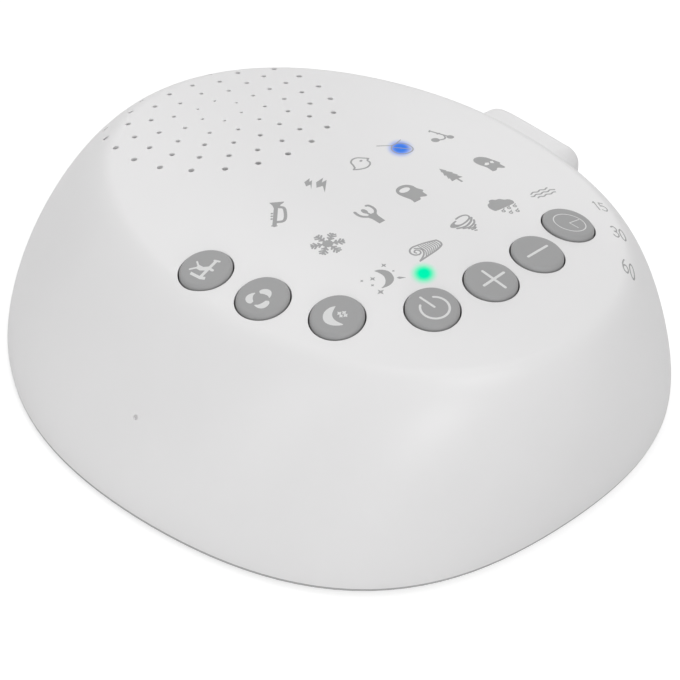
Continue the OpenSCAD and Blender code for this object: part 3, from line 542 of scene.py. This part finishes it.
# Radius and height of each step from the foot of the post, over the rim in the well, to the cap.
KEY_STEPS = ((2.4, -12.7), (2.4, -11.32), (6.26, -11.3), (6.28, -11.28), (6.28, -10.52), (6.26, -10.5),
             (KEY_R, -10.5), (KEY_R, -9.9))
key_tops = {}
for name, (u, v) in KEY_PLACES.items():
    middle = skin_height(u, v) + KEY_PROUD
    slope = skin_slope(u, v)

    def top(x, y, drop=0.0):
        return middle + (x - u) * slope[0] + (y - v) * slope[1] - drop

    rings = [circle(u, v, r, KEY_SIDES, w) for r, w in KEY_STEPS]
    rings.append(circle(u, v, KEY_R, KEY_SIDES, lambda x, y: top(x, y, EDGE + 0.3)))
    for step in range(7):
        turn = radians(step * 15)
        rings.append(circle(u, v, KEY_R - EDGE * (1 - cos(turn)), KEY_SIDES,
                            lambda x, y: top(x, y, EDGE * (1 - sin(turn)) + 0.08)))
    rings.append(circle(u, v, KEY_R - EDGE - 0.25, KEY_SIDES, lambda x, y: top(x, y, 0.055)))
    for share, dip in ((0.8, 0.02), (0.6, 0.0), (0.4, 0.0), (0.2, 0.0)):
        rings.append(circle(u, v, (KEY_R - EDGE) * share, KEY_SIDES, lambda x, y: top(x, y, dip)))
    cap = loft("key_" + name, rings)
    smooth_by_angle(cap, 40)
    paint(cap, grey)
    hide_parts("button_" + name)
    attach(cap, "key_" + name)
    bpy.context.view_layer.update()
    key_tops[name] = BVHTree.FromObject(cap, bpy.context.evaluated_depsgraph_get())

# ---- Marks in grey print ----
# Pad-printed marks: fifteen for the sounds over the light guides, in three rows, and three
# numbers for the timer. The print is a few hundredths of a millimetre thick.


def band(points, width, closed=False):
    """Printed line of one width with round ends and corners."""
    made = []
    ends = list(zip(points, points[1:] + points[:1])) if closed else list(zip(points, points[1:]))
    for (x0, y0), (x1, y1) in ends:
        long = hypot(x1 - x0, y1 - y0) or 1
        nx, ny = -(y1 - y0) / long * width / 2, (x1 - x0) / long * width / 2
        made.append([(x0 + nx, y0 + ny), (x0 - nx, y0 - ny), (x1 - nx, y1 - ny), (x1 + nx, y1 + ny)])
    return made + [oval(p, width / 2, width / 2, sides=10)[0] for p in points]


def oval(centre, rx, ry, sides=24):
    return [[(centre[0] + rx * cos(2 * pi * k / sides), centre[1] + ry * sin(2 * pi * k / sides))
             for k in range(sides)]]


def arc(centre, r, start, end, steps=24):
    return [(centre[0] + r * cos(radians(start + (end - start) * k / steps)),
             centre[1] + r * sin(radians(start + (end - start) * k / steps))) for k in range(steps + 1)]


def smooth(points, steps=5):
    """Points on a soft curve through the given ones."""
    made = []
    last = len(points) - 1
    for i in range(last):
        a, b, c, d = (Vector(points[max(i - 1, 0)]), Vector(points[i]), Vector(points[i + 1]),
                      Vector(points[min(i + 2, last)]))
        for k in range(steps):
            t = k / steps
            p = 0.5 * (2 * b + (c - a) * t + (2 * a - 5 * b + 4 * c - d) * t * t
                       + (3 * b - a - 3 * c + d) * t ** 3)
            made.append((p.x, p.y))
    return made + [tuple(points[-1])]


def blob(points, steps=4):
    """Filled patch with a soft outline."""
    return [smooth(points + points[:1], steps)[:-1]]


def star(centre, r, points=4, waist=0.32, turn=0):
    made = []
    for k in range(2 * points):
        a = radians(turn) + pi * k / points
        size = r if k % 2 == 0 else r * waist
        made.append((centre[0] + size * sin(a), centre[1] + size * cos(a)))
    return [made]


def turned(shapes, angle, centre=(0, 0)):
    c, s = cos(radians(angle)), sin(radians(angle))
    mx, my = centre
    return [[(mx + (x - mx) * c - (y - my) * s, my + (x - mx) * s + (y - my) * c)
             for x, y in shape] for shape in shapes]


PRINT_MESH, PRINT_PROUD, PRINT_SUNK = 0.45, 0.02, 0.05


def turns_left(face):
    return sum(a[0] * b[1] - b[0] * a[1] for a, b in zip(face, face[1:] + face[:1])) > 0


def printed(name, shapes, gaps, place, carrier):
    """Thin closed film in the form of the shapes, less the gaps, laid on its carrier from above."""
    faces = [[(place[0] + x, place[1] + y) for x, y in shape] for shape in shapes + gaps]
    faces = [face if turns_left(face) else face[::-1] for face in faces]
    points = [Vector(p) for face in faces for p in face]
    index, loops = 0, []
    for face in faces:
        loops.append(list(range(index, index + len(face))))
        index += len(face)
    xs, ys = [p.x for p in points], [p.y for p in points]
    for i in range(int((max(xs) - min(xs)) / PRINT_MESH) + 1):
        for j in range(int((max(ys) - min(ys)) / PRINT_MESH) + 1):
            points.append(Vector((min(xs) + (i + 0.37) * PRINT_MESH, min(ys) + (j + 0.41) * PRINT_MESH)))
    verts, _, tris, _, _, sources = delaunay_2d_cdt(points, [], loops, 1, 1e-5)
    kept = [tri for tri, source in zip(tris, sources)
            if source and any(s < len(shapes) for s in source) and not any(s >= len(shapes) for s in source)]
    used = sorted({i for tri in kept for i in tri})
    renumber = {old: new for new, old in enumerate(used)}
    lifted = []
    for i in used:
        hit, normal = carrier.ray_cast(Vector((verts[i].x * MM, verts[i].y * MM, OVER_ALL)), DOWN)[:2]
        lifted.append(hit + normal * PRINT_PROUD * MM)
    mesh = bpy.data.meshes.new(name)
    mesh.from_pydata(lifted, [], [[renumber[i] for i in tri] for tri in kept])
    film = bpy.data.objects.new(name, mesh)
    bpy.context.scene.collection.objects.link(film)
    edit(film)
    bpy.ops.mesh.normals_make_consistent(inside=False)
    edit_done()
    if sum(p.normal.z * p.area for p in mesh.polygons) < 0:
        mesh.flip_normals()
    apply_modifier(film, "SOLIDIFY", thickness=(PRINT_PROUD + PRINT_SUNK) * MM, offset=-1)
    smooth_by_angle(film, 40)
    return film


def wave(x0, x1, y, width=0.33):
    xs = [x0 + (x1 - x0) * k / 40 for k in range(41)]
    return band([(x, y + 0.16 * cos(2 * pi * x / 2.15)) for x in xs], width)


# Back row: trumpet, thunder, bird, leaf and scooter. Each is drawn round its own place, in millimetres.
trumpet = ([[(1.27, 4.1), (3.6, 2.25), (3.3, 2.03), (2.3, 1.95), (1.9, 1.3), (0.7, 2.1), (1.1, 2.9)]]
           + band([(1.0, 1.75), (-3.0, -2.35)], 0.85) + band([(-3.4, -2.0), (-2.7, -2.75)], 0.3)
           + band(smooth([(1.7, 1.5), (2.1, 0.95), (1.95, 0.2), (0.9, -1.25), (-0.1, -2.25), (-0.9, -2.5),
                          (-1.8, -1.9)]), 0.68)
           + oval((-0.75, 1.0), 0.25, 0.25) + oval((-1.35, 0.35), 0.25, 0.25)
           + oval((-1.95, -0.3), 0.25, 0.25))
bolts = [[(-1.0, 2.45), (0.75, 2.75), (-0.15, 1.85), (0.6, 1.85), (-1.75, -0.5), (-0.7, 0.95), (-1.75, 1.05)],
         [(0.75, 0.75), (2.9, 1.0), (1.5, -0.1), (2.85, -0.1), (-0.5, -3.2), (0.8, -1.15), (-0.55, -0.75)]]
bird = (band(smooth([(-1.83, -0.43), (-1.4, 0.5), (-1.0, 1.6), (0.0, 2.27), (1.17, 2.17), (2.1, 1.33),
                     (2.9, 0.43)]), 0.38)
        + band(smooth([(2.9, 0.43), (2.2, 0.05), (2.05, -0.85), (1.33, -1.57), (0.17, -1.9), (-1.17, -1.57),
                       (-2.5, -0.77)]), 0.38)
        + band([(-2.5, -0.77), (-1.83, -0.43)], 0.38) + oval((1.03, 0.75), 0.38, 0.28))
leaf = (band([(-3.2, 4.0), (-0.5, 2.2)], 0.26)
        + band(smooth([(-0.5, 2.2), (1.2, 2.2), (2.4, 0.9), (2.4, -1.0), (1.3, -2.0), (-0.6, -2.0),
                       (-1.9, -0.8), (-1.8, 1.0), (-0.5, 2.2)]), 0.26)
        + band([(0.4, 2.2), (2.7, 2.9)], 0.24) + band([(-0.9, 1.5), (1.7, -1.3)], 0.2))
scooter = (band([(-1.75, 2.1), (-1.3, 2.45)], 0.42)
           + band(smooth([(-1.35, 2.3), (-0.75, 0.9), (0.0, -0.7), (0.5, -1.7)]), 0.46)
           + band(smooth([(-0.1, -0.6), (-0.7, -1.65), (-1.5, -1.95), (-2.6, -1.8)]), 0.4)
           + band([(-0.9, 0.5), (-0.35, 0.5)], 0.5)
           + oval((-3.4, -1.35), 1.05, 0.85) + oval((0.55, -1.95), 0.9, 0.75))

# Middle row: snow, singer, head, fir and visor.
SNOW_X, SNOW_Y, SNOW_CORE = 0.23, -0.07, 1.15
snow = [[(SNOW_X + SNOW_CORE * sin(radians(a)), SNOW_Y + SNOW_CORE * cos(radians(a)))
         for a in range(30, 390, 60)]]
arm = band([(SNOW_X, 0.5), (SNOW_X, 3.15)], 0.5)
for height, reach in ((1.3, 0.7), (2.05, 0.95), (2.75, 0.65)):
    side, tip = reach * 0.85, height + reach * 0.62
    arm += band([(SNOW_X - side, tip), (SNOW_X, height), (SNOW_X + side, tip)], 0.42)
for k in range(6):
    snow += turned(arm, 60 * k, (SNOW_X, SNOW_Y))
singer = (oval((-0.27, 1.0), 0.55, 0.88) + band([(-0.25, 0.4), (-0.15, -0.6)], 0.5)
          + band(smooth([(-2.0, 2.0), (-2.1, 0.9), (-1.85, 0.0), (-1.15, -0.75), (-0.4, -1.3)]), 0.62)
          + band(smooth([(1.3, 2.2), (1.75, 1.9), (1.9, 0.9), (1.7, 0.0), (1.05, -0.75), (0.2, -1.3)]), 0.6)
          + [[(-1.3, -0.75), (-0.5, -0.5), (0.4, -0.5), (1.2, -0.75), (0.8, -1.9), (0.7, -4.0), (-0.85, -4.0),
              (-0.9, -1.9)]])
head_outline = [(-1.83, -2.9), (-1.67, -1.67), (-2.17, 0.17), (-2.27, 1.67), (-1.5, 2.83), (-0.17, 3.23),
                (1.23, 2.9), (2.1, 1.83), (2.23, 0.5), (2.75, -0.77), (2.2, -1.17), (2.1, -2.5), (1.6, -2.75),
                (0.5, -2.25), (-0.1, -2.9)]
fir = [[(-0.83, 3.17), (-0.1, 1.75), (-0.4, 1.75), (0.5, 0.45), (0.15, 0.45), (0.7, -0.85), (0.35, -0.85),
        (0.9, -1.95), (-0.3, -1.85), (-0.3, -3.3), (-0.8, -3.3), (-0.8, -1.85), (-2.2, -1.95), (-1.75, -0.85),
        (-2.1, -0.8), (-1.55, 0.45), (-1.95, 0.5), (-1.3, 1.75), (-1.5, 1.8)]]
visor_outline = [(-1.6, -2.67), (-1.57, -0.83), (-2.17, 0.83), (-2.17, 2.33), (-1.17, 3.25), (0.33, 3.25),
                 (1.57, 2.33), (2.1, 1.0), (2.7, -0.67), (2.2, -1.17), (2.3, -2.5), (1.67, -2.75),
                 (0.5, -2.1), (-0.5, -2.7)]
visor_gaps = [[(-1.3, 0.1), (-0.3, 0.8), (0.45, 0.5), (-0.1, -0.2), (-0.9, -0.2)],
              [(0.6, 0.1), (1.1, 0.75), (1.8, 0.6), (1.4, -0.3)]]

# Front row: moon, surf, storm, rain and waves.
moon = (blob([(0.43, 3.2), (1.35, 2.85), (2.2, 1.85), (2.45, 0.67), (1.9, -0.85), (0.83, -1.62), (-0.5, -1.8),
              (-1.85, -1.35), (-1.0, -1.15), (-0.17, -0.67), (0.6, 0.33), (0.83, 1.33), (0.7, 2.33)])
        + star((-1.33, 1.77), 0.68, waist=0.38) + star((-2.67, -2.0), 0.85, waist=0.38)
        + star((2.93, 3.17), 0.68, waist=0.38)
        + star((-3.23, 2.77), 0.38, waist=0.5) + star((-2.57, 0.43), 0.38, waist=0.5)
        + star((3.2, 0.7), 0.3, waist=0.5)
        + [[(2.3, -1.15), (2.85, -1.25), (3.75, -2.35), (2.5, -1.8)]])
surf = (band(smooth([(-3.0, -0.55), (-3.75, -0.1), (-4.0, 0.8), (-3.5, 1.6), (-2.5, 1.95), (-1.2, 1.75),
                     (0.6, 1.35), (2.8, 0.6)]), 0.38)
        + band(smooth([(-3.0, -0.55), (-2.35, -0.35), (-2.1, 0.35), (-2.6, 0.9), (-3.2, 0.6),
                       (-3.1, 0.15)]), 0.34)
        + band(smooth([(-2.4, 1.4), (-1.65, 0.7), (-1.6, -0.3), (-2.5, -1.3), (-4.2, -2.1)]), 0.36)
        + band(smooth([(-4.2, -2.1), (-2.0, -1.95), (0.8, -1.7), (2.5, -1.2), (2.95, -0.4),
                       (2.8, 0.6)]), 0.4))
for k in range(8):
    foot, crest = (-2.2 + 0.58 * k, -1.75 + 0.05 * k), (-1.3 + 0.5 * k, 1.4 - 0.11 * k)
    surf += band(smooth([foot, (-1.25 + 0.51 * k, -0.5 - 0.02 * k), crest]), 0.26)
storm = (band(smooth([(-0.3, 2.35), (0.8, 2.5), (1.9, 2.35), (2.5, 1.85), (2.3, 1.1), (1.1, 0.55),
                      (-0.6, 0.3), (-2.2, 0.45), (-2.95, 0.95), (-2.3, 1.5), (-0.9, 1.85)]), 0.4)
         + blob([(-3.1, 0.95), (-2.3, 1.6), (-1.2, 1.9), (-1.7, 1.25), (-1.3, 0.7), (-0.2, 0.3), (-2.0, 0.3)])
         + band(smooth([(-2.35, -0.1), (-0.5, -0.6), (1.5, -0.05), (2.65, 0.85)]), 0.46)
         + band(smooth([(-1.35, -0.85), (0.2, -1.25), (1.8, -0.75), (2.45, -0.05)]), 0.42)
         + band(smooth([(-0.5, -1.5), (0.6, -1.8), (1.6, -1.35)]), 0.4)
         + band([(-0.2, -2.1), (0.5, -2.25), (1.0, -2.05)], 0.36)
         + band([(0.1, -2.7), (0.5, -2.85)], 0.34))
rain = blob([(-3.2, 1.33), (-2.67, 2.17), (-1.83, 2.5), (-1.43, 3.07), (-0.57, 3.1), (0.1, 2.57), (1.0, 2.43),
             (1.77, 1.67), (2.6, 1.33), (3.05, 0.57), (2.83, -0.1), (2.1, -0.37), (-2.33, -0.37),
             (-3.1, 0.23)])
drops = [(-1.45, -1.2), (0.35, -1.0), (1.95, -1.15), (-0.5, -2.4), (1.15, -2.7)]
rain_gaps = []
for x, y in drops:
    rain += oval((x, y), 0.46, 0.46) + band([(x + 0.3, y + 0.3), (x + 0.75, y + 0.6)], 0.22)
    rain_gaps += oval((x, y), 0.18, 0.18)
waves = wave(-3.2, 2.2, 0.65) + wave(-3.8, 3.3, -0.25) + wave(-2.8, 2.7, -1.2)

# Name, shapes, gaps and place of each print, in rows from the back.
marks = [("mark_trumpet", trumpet, [], (-19.3, 0.1)), ("mark_thunder", bolts, [], (-7.2, 2.1)),
         ("mark_bird", bird, [], (4.9, 1.9)), ("mark_leaf", leaf, [], (15.9, 0.9)),
         ("mark_scooter", scooter, [], (28.3, 0.9)),
         ("mark_snow", snow, [], (-19.1, -14.1)), ("mark_singer", singer, [], (-6.1, -12.4)),
         ("mark_head", blob(head_outline), oval((-0.23, 1.6), 1.33, 0.78), (5.3, -12.8)),
         ("mark_fir", fir, [], (17.4, -12.9)), ("mark_visor", blob(visor_outline), visor_gaps, (27.2, -14.0)),
         ("mark_moon", moon, [], (-18.4, -29.8)), ("mark_surf", surf, [], (-5.0, -28.3)),
         ("mark_storm", storm, [], (6.2, -27.5)), ("mark_rain", rain, rain_gaps, (17.5, -27.6)),
         ("mark_waves", waves, [], (29.1, -27.8))]

# The figures of the timer's 15, 30 and 60.
LINE = 0.38


def stroke(points):
    return band(smooth(points, 4), LINE)


def round_stroke(middle, ry, step):
    return band([(0.78 * sin(radians(a)), middle + ry * cos(radians(a))) for a in range(0, 360, step)],
                LINE, closed=True)


ONE = band([(-0.45, 1.2), (0.1, 1.7), (0.1, -1.7)], 0.4)
THREE = (stroke([(-0.8, 1.3), (0.0, 1.75), (0.75, 1.2), (0.5, 0.4), (-0.2, 0.15)])
         + stroke([(-0.2, 0.15), (0.6, -0.1), (0.8, -0.9), (0.2, -1.6), (-0.5, -1.6), (-0.9, -1.2)]))
FIVE = (stroke([(-0.75, 0.25), (0.0, 0.5), (0.7, 0.1), (0.8, -0.7), (0.3, -1.5), (-0.5, -1.65), (-0.9, -1.3)])
        + band([(-0.75, 0.25), (-0.6, 1.7), (0.65, 1.7)], LINE))
SIX = round_stroke(-0.75, 0.95, 24) + stroke([(-0.78, -0.75), (-0.65, 0.6), (0.0, 1.7)])
NOUGHT = round_stroke(0, 1.7, 20)


def number(left, right, pitch, rise):
    """Two figures that lean with the crown's edge: pitch is the step between them, rise their height."""
    pair = [[(x - 1.1, y) for x, y in shape] for shape in left]
    pair += [[(x + 1.1, y) for x, y in shape] for shape in right]
    return [[(x * pitch[0] / 2.2 + y * rise[0] / 3.4, x * pitch[1] / 2.2 + y * rise[1] / 3.4)
             for x, y in shape] for shape in pair]


marks += [("number_15", number(ONE, FIVE, (1.06, -1.06), (1.12, 2.78)), [], (36.8, -37.5)),
          ("number_30", number(THREE, NOUGHT, (0.8, -1.39), (1.96, 3.02)), [], (32.9, -46.3)),
          ("number_60", number(SIX, NOUGHT, (0.68, -1.45), (2.5, 2.99)), [], (25.9, -55.3))]
print_grey = finish("print_grey", (0.345, 0.345, 0.347), roughness=0.5, grain=3000, depth=0.004, tone=0.03,
                    spread=0.04)
# The pad prints all fifteen marks at once, a little to the front of the light guides.
PAD_X, PAD_Y = 0.05, 0.33
for name, shapes, gaps, place in marks:
    if name.startswith("mark"):
        place = (place[0] - PAD_X, place[1] - PAD_Y)
    film = printed(name, shapes, gaps, place, form_tree)
    paint(film, print_grey)
    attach(film, "case")

# ---- Symbols on the keys ----
# White print on each cap: rocking horse, fan, moon, power, plus, minus and clock.
horse = ([[(-2.67, 1.67), (-2.0, 2.05), (-1.73, -0.45), (-1.2, -1.35), (-1.83, -1.8), (-2.35, -0.85)]]
         + band([(-1.6, -0.5), (3.0, 0.5)], 0.68) + band([(2.95, 0.85), (3.35, -0.1)], 0.5)
         + [[(0.0, 0.05), (1.3, 0.3), (0.35, 1.2), (0.25, 2.3), (-0.85, 2.3), (-0.75, 1.0)]]
         + band([(-0.1, 2.1), (0.55, 3.3)], 0.38) + band([(-0.5, 2.0), (-1.7, 2.8)], 0.46)
         + band([(0.83, 0.0), (0.85, -0.95)], 0.62))
blade = [(0.95, 0.95), (1.25, 1.55), (2.0, 1.45), (2.65, 0.7), (2.7, -0.2), (2.2, -0.9), (1.35, -1.3),
         (1.5, -0.55), (1.3, 0.3)]
fan = []
for k in range(3):
    fan += [[(x - 0.3, y + 0.6) for x, y in shape] for shape in turned(blob(blade), 120 * k)]
crescent = (blob([(1.83, 2.6), (0.83, 3.12), (-0.67, 3.0), (-1.88, 2.05), (-2.3, 0.67), (-1.7, -0.88),
                  (-0.33, -2.0), (-0.6, -0.5), (-0.5, 0.7), (0.2, 1.7)])
            + star((1.1, 0.7), 0.58, waist=0.5) + star((1.85, 0.2), 0.55, waist=0.5)
            + star((0.85, -0.05), 0.5, waist=0.5)
            + star((1.55, -0.55), 0.58, waist=0.5))
power = band(arc((0.67, 0.2), 2.85, 127, 413, 40), 0.48) + band([(0.4, 4.0), (0.73, 0.4)], 0.48)
plus = band([(0.73, 3.3), (1.07, -2.7)], 0.6) + band([(-1.95, 0.15), (3.85, 0.55)], 0.6)
minus = band([(-2.3, 0.6), (3.55, 1.0)], 0.56)
clock = (band(arc((0, 0), 3.4, 0, 350, 36), 0.22, closed=True) + band([(-0.1, -0.05), (3.02, 0.15)], 0.22)
         + band([(-0.1, -0.05), (0.17, -2.25)], 0.22))
clock = turned([[(0.84 * x, y) for x, y in shape] for shape in turned(clock, -42)], 42)
clock = [[(x + 0.75, y + 0.6) for x, y in shape] for shape in clock]
symbols = {"lullaby": horse, "fan": fan, "night": crescent, "power": power,
           "volume_up": plus, "volume_down": minus, "timer": clock}
print_white = finish("print_white", (0.70, 0.70, 0.70), roughness=0.5, grain=3000, depth=0.004, tone=0.02,
                     spread=0.04)
# Each symbol is drawn round a point to the right of and behind its key's middle.
SYMBOL_X, SYMBOL_Y = 0.67, 0.7
for name, shapes in symbols.items():
    u, v = KEY_PLACES[name]
    at = deck_point(u, v, skin_height(u, v)) / MM
    film = printed("symbol_" + name, shapes, [], (at.x - SYMBOL_X, at.y - SYMBOL_Y), key_tops[name])
    paint(film, print_white)
    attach(film, "key_" + name)

# ---- Parts that stay as they were made ----
# Feet, screws, switches, boards, lights, loudspeaker, sockets and leads keep their form, and
# each gets the finish of what it is made of.
STAY = {
    "base_plastic": dict(colour=(0.70, 0.70, 0.70), roughness=0.5, grain=1800, depth=0.012, tone=0.02),
    "foot_rubber": dict(colour=(0.05, 0.05, 0.052), roughness=0.75, grain=1200, depth=0.03, tone=0.12),
    "screw_steel": dict(colour=(0.58, 0.58, 0.6), roughness=0.32, metallic=1.0, grain=3000,
                        depth=0.006, tone=0.06),
    "stem_plastic": dict(colour=(0.03, 0.03, 0.032), roughness=0.42, tone=0.1),
    "switch_steel": dict(colour=(0.66, 0.66, 0.67), roughness=0.25, metallic=1.0, grain=2500, depth=0.004),
    "board_green": dict(colour=(0.02, 0.13, 0.05), roughness=0.3, grain=900, depth=0.012,
                        tone=0.18, patch=140),
    "blue_light": dict(colour=(0.75, 0.8, 0.9), roughness=0.2),
    "green_light": dict(colour=(0.75, 0.9, 0.82), roughness=0.2),
    "clear_guide": dict(colour=(0.9, 0.93, 0.95), roughness=0.08, spread=0.02,
                        Transmission_Weight=0.9, IOR=1.49),
    "chip_black": dict(colour=(0.025, 0.025, 0.027), roughness=0.5, grain=2800, depth=0.01, tone=0.12),
    "capacitor_sleeve": dict(colour=(0.03, 0.035, 0.12), roughness=0.28, tone=0.1),
    "connector_ivory": dict(colour=(0.78, 0.73, 0.6), roughness=0.45, tone=0.04),
    "speaker_steel": dict(colour=(0.09, 0.09, 0.1), roughness=0.38, metallic=0.8, tone=0.1),
    "magnet_ferrite": dict(colour=(0.05, 0.05, 0.055), roughness=0.6, grain=2600, depth=0.02, tone=0.15),
    "coil_copper": dict(colour=(0.6, 0.25, 0.1), roughness=0.3, metallic=1.0, grain=4000, depth=0.03),
    "spider_cloth": dict(colour=(0.5, 0.36, 0.12), roughness=0.8, grain=2600, depth=0.05, tone=0.12),
    "cone_paper": dict(colour=(0.02, 0.02, 0.02), roughness=0.8, grain=1400, depth=0.05, tone=0.2),
    "surround_rubber": dict(colour=(0.02, 0.02, 0.02), roughness=0.6, tone=0.1),
    "foam": dict(colour=(0.03, 0.03, 0.03), roughness=0.9, grain=1600, depth=0.08, tone=0.2),
    "dust_cloth": dict(colour=(0.42, 0.42, 0.43), roughness=0.9, grain=3200, depth=0.06, tone=0.2),
    "lead_sleeve": dict(colour=(0.35, 0.02, 0.02), roughness=0.4, tone=0.06),
}
finishes = {"white_shell": white, "key_grey": grey}
for part in frame["record"]["subparts"]:
    slot = part["material_slot"]
    if slot not in finishes:
        finishes[slot] = finish(slot, **STAY[slot])
    paint(frame["nodes"][part["node"]], finishes[slot])

# ---- Studio ----
# White paper on the table and all round, with broad soft lamps and three softboxes beside
# the camera, which stands above the front left of the case.
bpy.ops.object.select_all(action="DESELECT")
bpy.ops.mesh.primitive_plane_add(size=6, location=(0, 0, 0))
floor = bpy.context.object
floor.name = "floor"
paper = bpy.data.materials.new("paper")
paper.use_nodes = True
tree = paper.node_tree
matt = tree.nodes["Principled BSDF"]
matt.inputs["Base Color"].default_value = (0.82, 0.82, 0.82, 1)
matt.inputs["Roughness"].default_value = 0.9
matt.inputs["Specular IOR Level"].default_value = 0.1
rays = node(tree, "ShaderNodeLightPath")
shaded = node(tree, "ShaderNodeBsdfDiffuse", Color=(0.45, 0.45, 0.45, 1))
plain = node(tree, "ShaderNodeEmission", Color=(1, 1, 1, 1), Strength=0.7)
lit = node(tree, "ShaderNodeAddShader", {0: shaded.outputs[0], 1: plain.outputs[0]})
seen = node(tree, "ShaderNodeMath",
            {0: rays.outputs["Is Camera Ray"], 1: rays.outputs["Is Transmission Ray"]},
            operation="MAXIMUM")
choice = node(tree, "ShaderNodeMixShader", {0: seen.outputs[0], 1: matt.outputs[0], 2: lit.outputs[0]})
tree.links.new(choice.outputs[0], tree.nodes["Material Output"].inputs["Surface"])
paint(floor, paper)

world = bpy.data.worlds.new("surroundings")
bpy.context.scene.world = world
world.use_nodes = True
tree = world.node_tree
tree.nodes.clear()
rays = node(tree, "ShaderNodeLightPath")
seen = node(tree, "ShaderNodeMath", {0: rays.outputs["Is Camera Ray"], 1: rays.outputs["Is Glossy Ray"]},
            operation="MAXIMUM")
seen = node(tree, "ShaderNodeMath", {0: seen.outputs[0], 1: rays.outputs["Is Transmission Ray"]},
            operation="MAXIMUM")
fill = node(tree, "ShaderNodeBackground", Color=(1, 1, 1, 1), Strength=0.385)
bright = node(tree, "ShaderNodeBackground", Color=(1, 1, 1, 1), Strength=1.0)
choice = node(tree, "ShaderNodeMixShader", {0: seen.outputs[0], 1: fill.outputs[0], 2: bright.outputs[0]})
node(tree, "ShaderNodeOutputWorld", {0: choice.outputs[0]})
LAMPS_AWAY = 1.3


def lamp(name, turn, height, size, power):
    """Round soft lamp that points at the case, at an angle round it and a height angle."""
    a, h = radians(turn), radians(height)
    place = Vector((sin(a) * cos(h), -cos(a) * cos(h), sin(h))) * LAMPS_AWAY
    bpy.ops.object.light_add(type="AREA", location=place)
    light = bpy.context.object
    light.name = name
    light.data.shape = "DISK"
    light.data.size = size
    light.data.energy = power
    light.rotation_euler = (-place).to_track_quat("-Z", "Y").to_euler()


lamp("lamp_over", 0, 88, 0.9, 3.3)
lamp("lamp_front", -15, 48, 0.7, 3.3)
lamp("lamp_right", 120, 18, 0.7, 0.95)
lamp("lamp_back", 165, 48, 0.7, 2.0)
lamp("lamp_low_back", 165, 18, 0.7, 0.87)
lamp("lamp_left_back", -150, 48, 0.7, 1.1)
lamp("softbox_left", -88, 14, 0.3, 0.75)
lamp("softbox_high_left", -88, 24, 0.36, 0.45)
lamp("softbox_right", -31, 11, 0.28, 2.1)

# The camera stands this far from a point near the middle of the case's foot, and rolls a little.
CAMERA_AWAY, AIM = 0.50685, Vector((0, -0.0025, 0.002))
azimuth, elevation, roll = radians(-47.920), radians(42.652), radians(8.415)
back = Vector((sin(azimuth) * cos(elevation), -cos(azimuth) * cos(elevation), sin(elevation)))
level = Vector((cos(azimuth), sin(azimuth), 0))
upright = back.cross(level)
right = cos(roll) * level + sin(roll) * upright
up = -sin(roll) * level + cos(roll) * upright
bpy.ops.object.camera_add(location=back * CAMERA_AWAY + AIM)
camera = bpy.context.object
camera.rotation_euler = Matrix((right, up, back)).transposed().to_euler()
camera.data.lens = 123.17
camera.data.sensor_width = 36
camera.data.shift_x = 0.00837
camera.data.shift_y = -0.01613
camera.data.clip_start = 0.01
bpy.context.scene.camera = camera
bpy.context.scene.view_settings.view_transform = "Standard"

import json
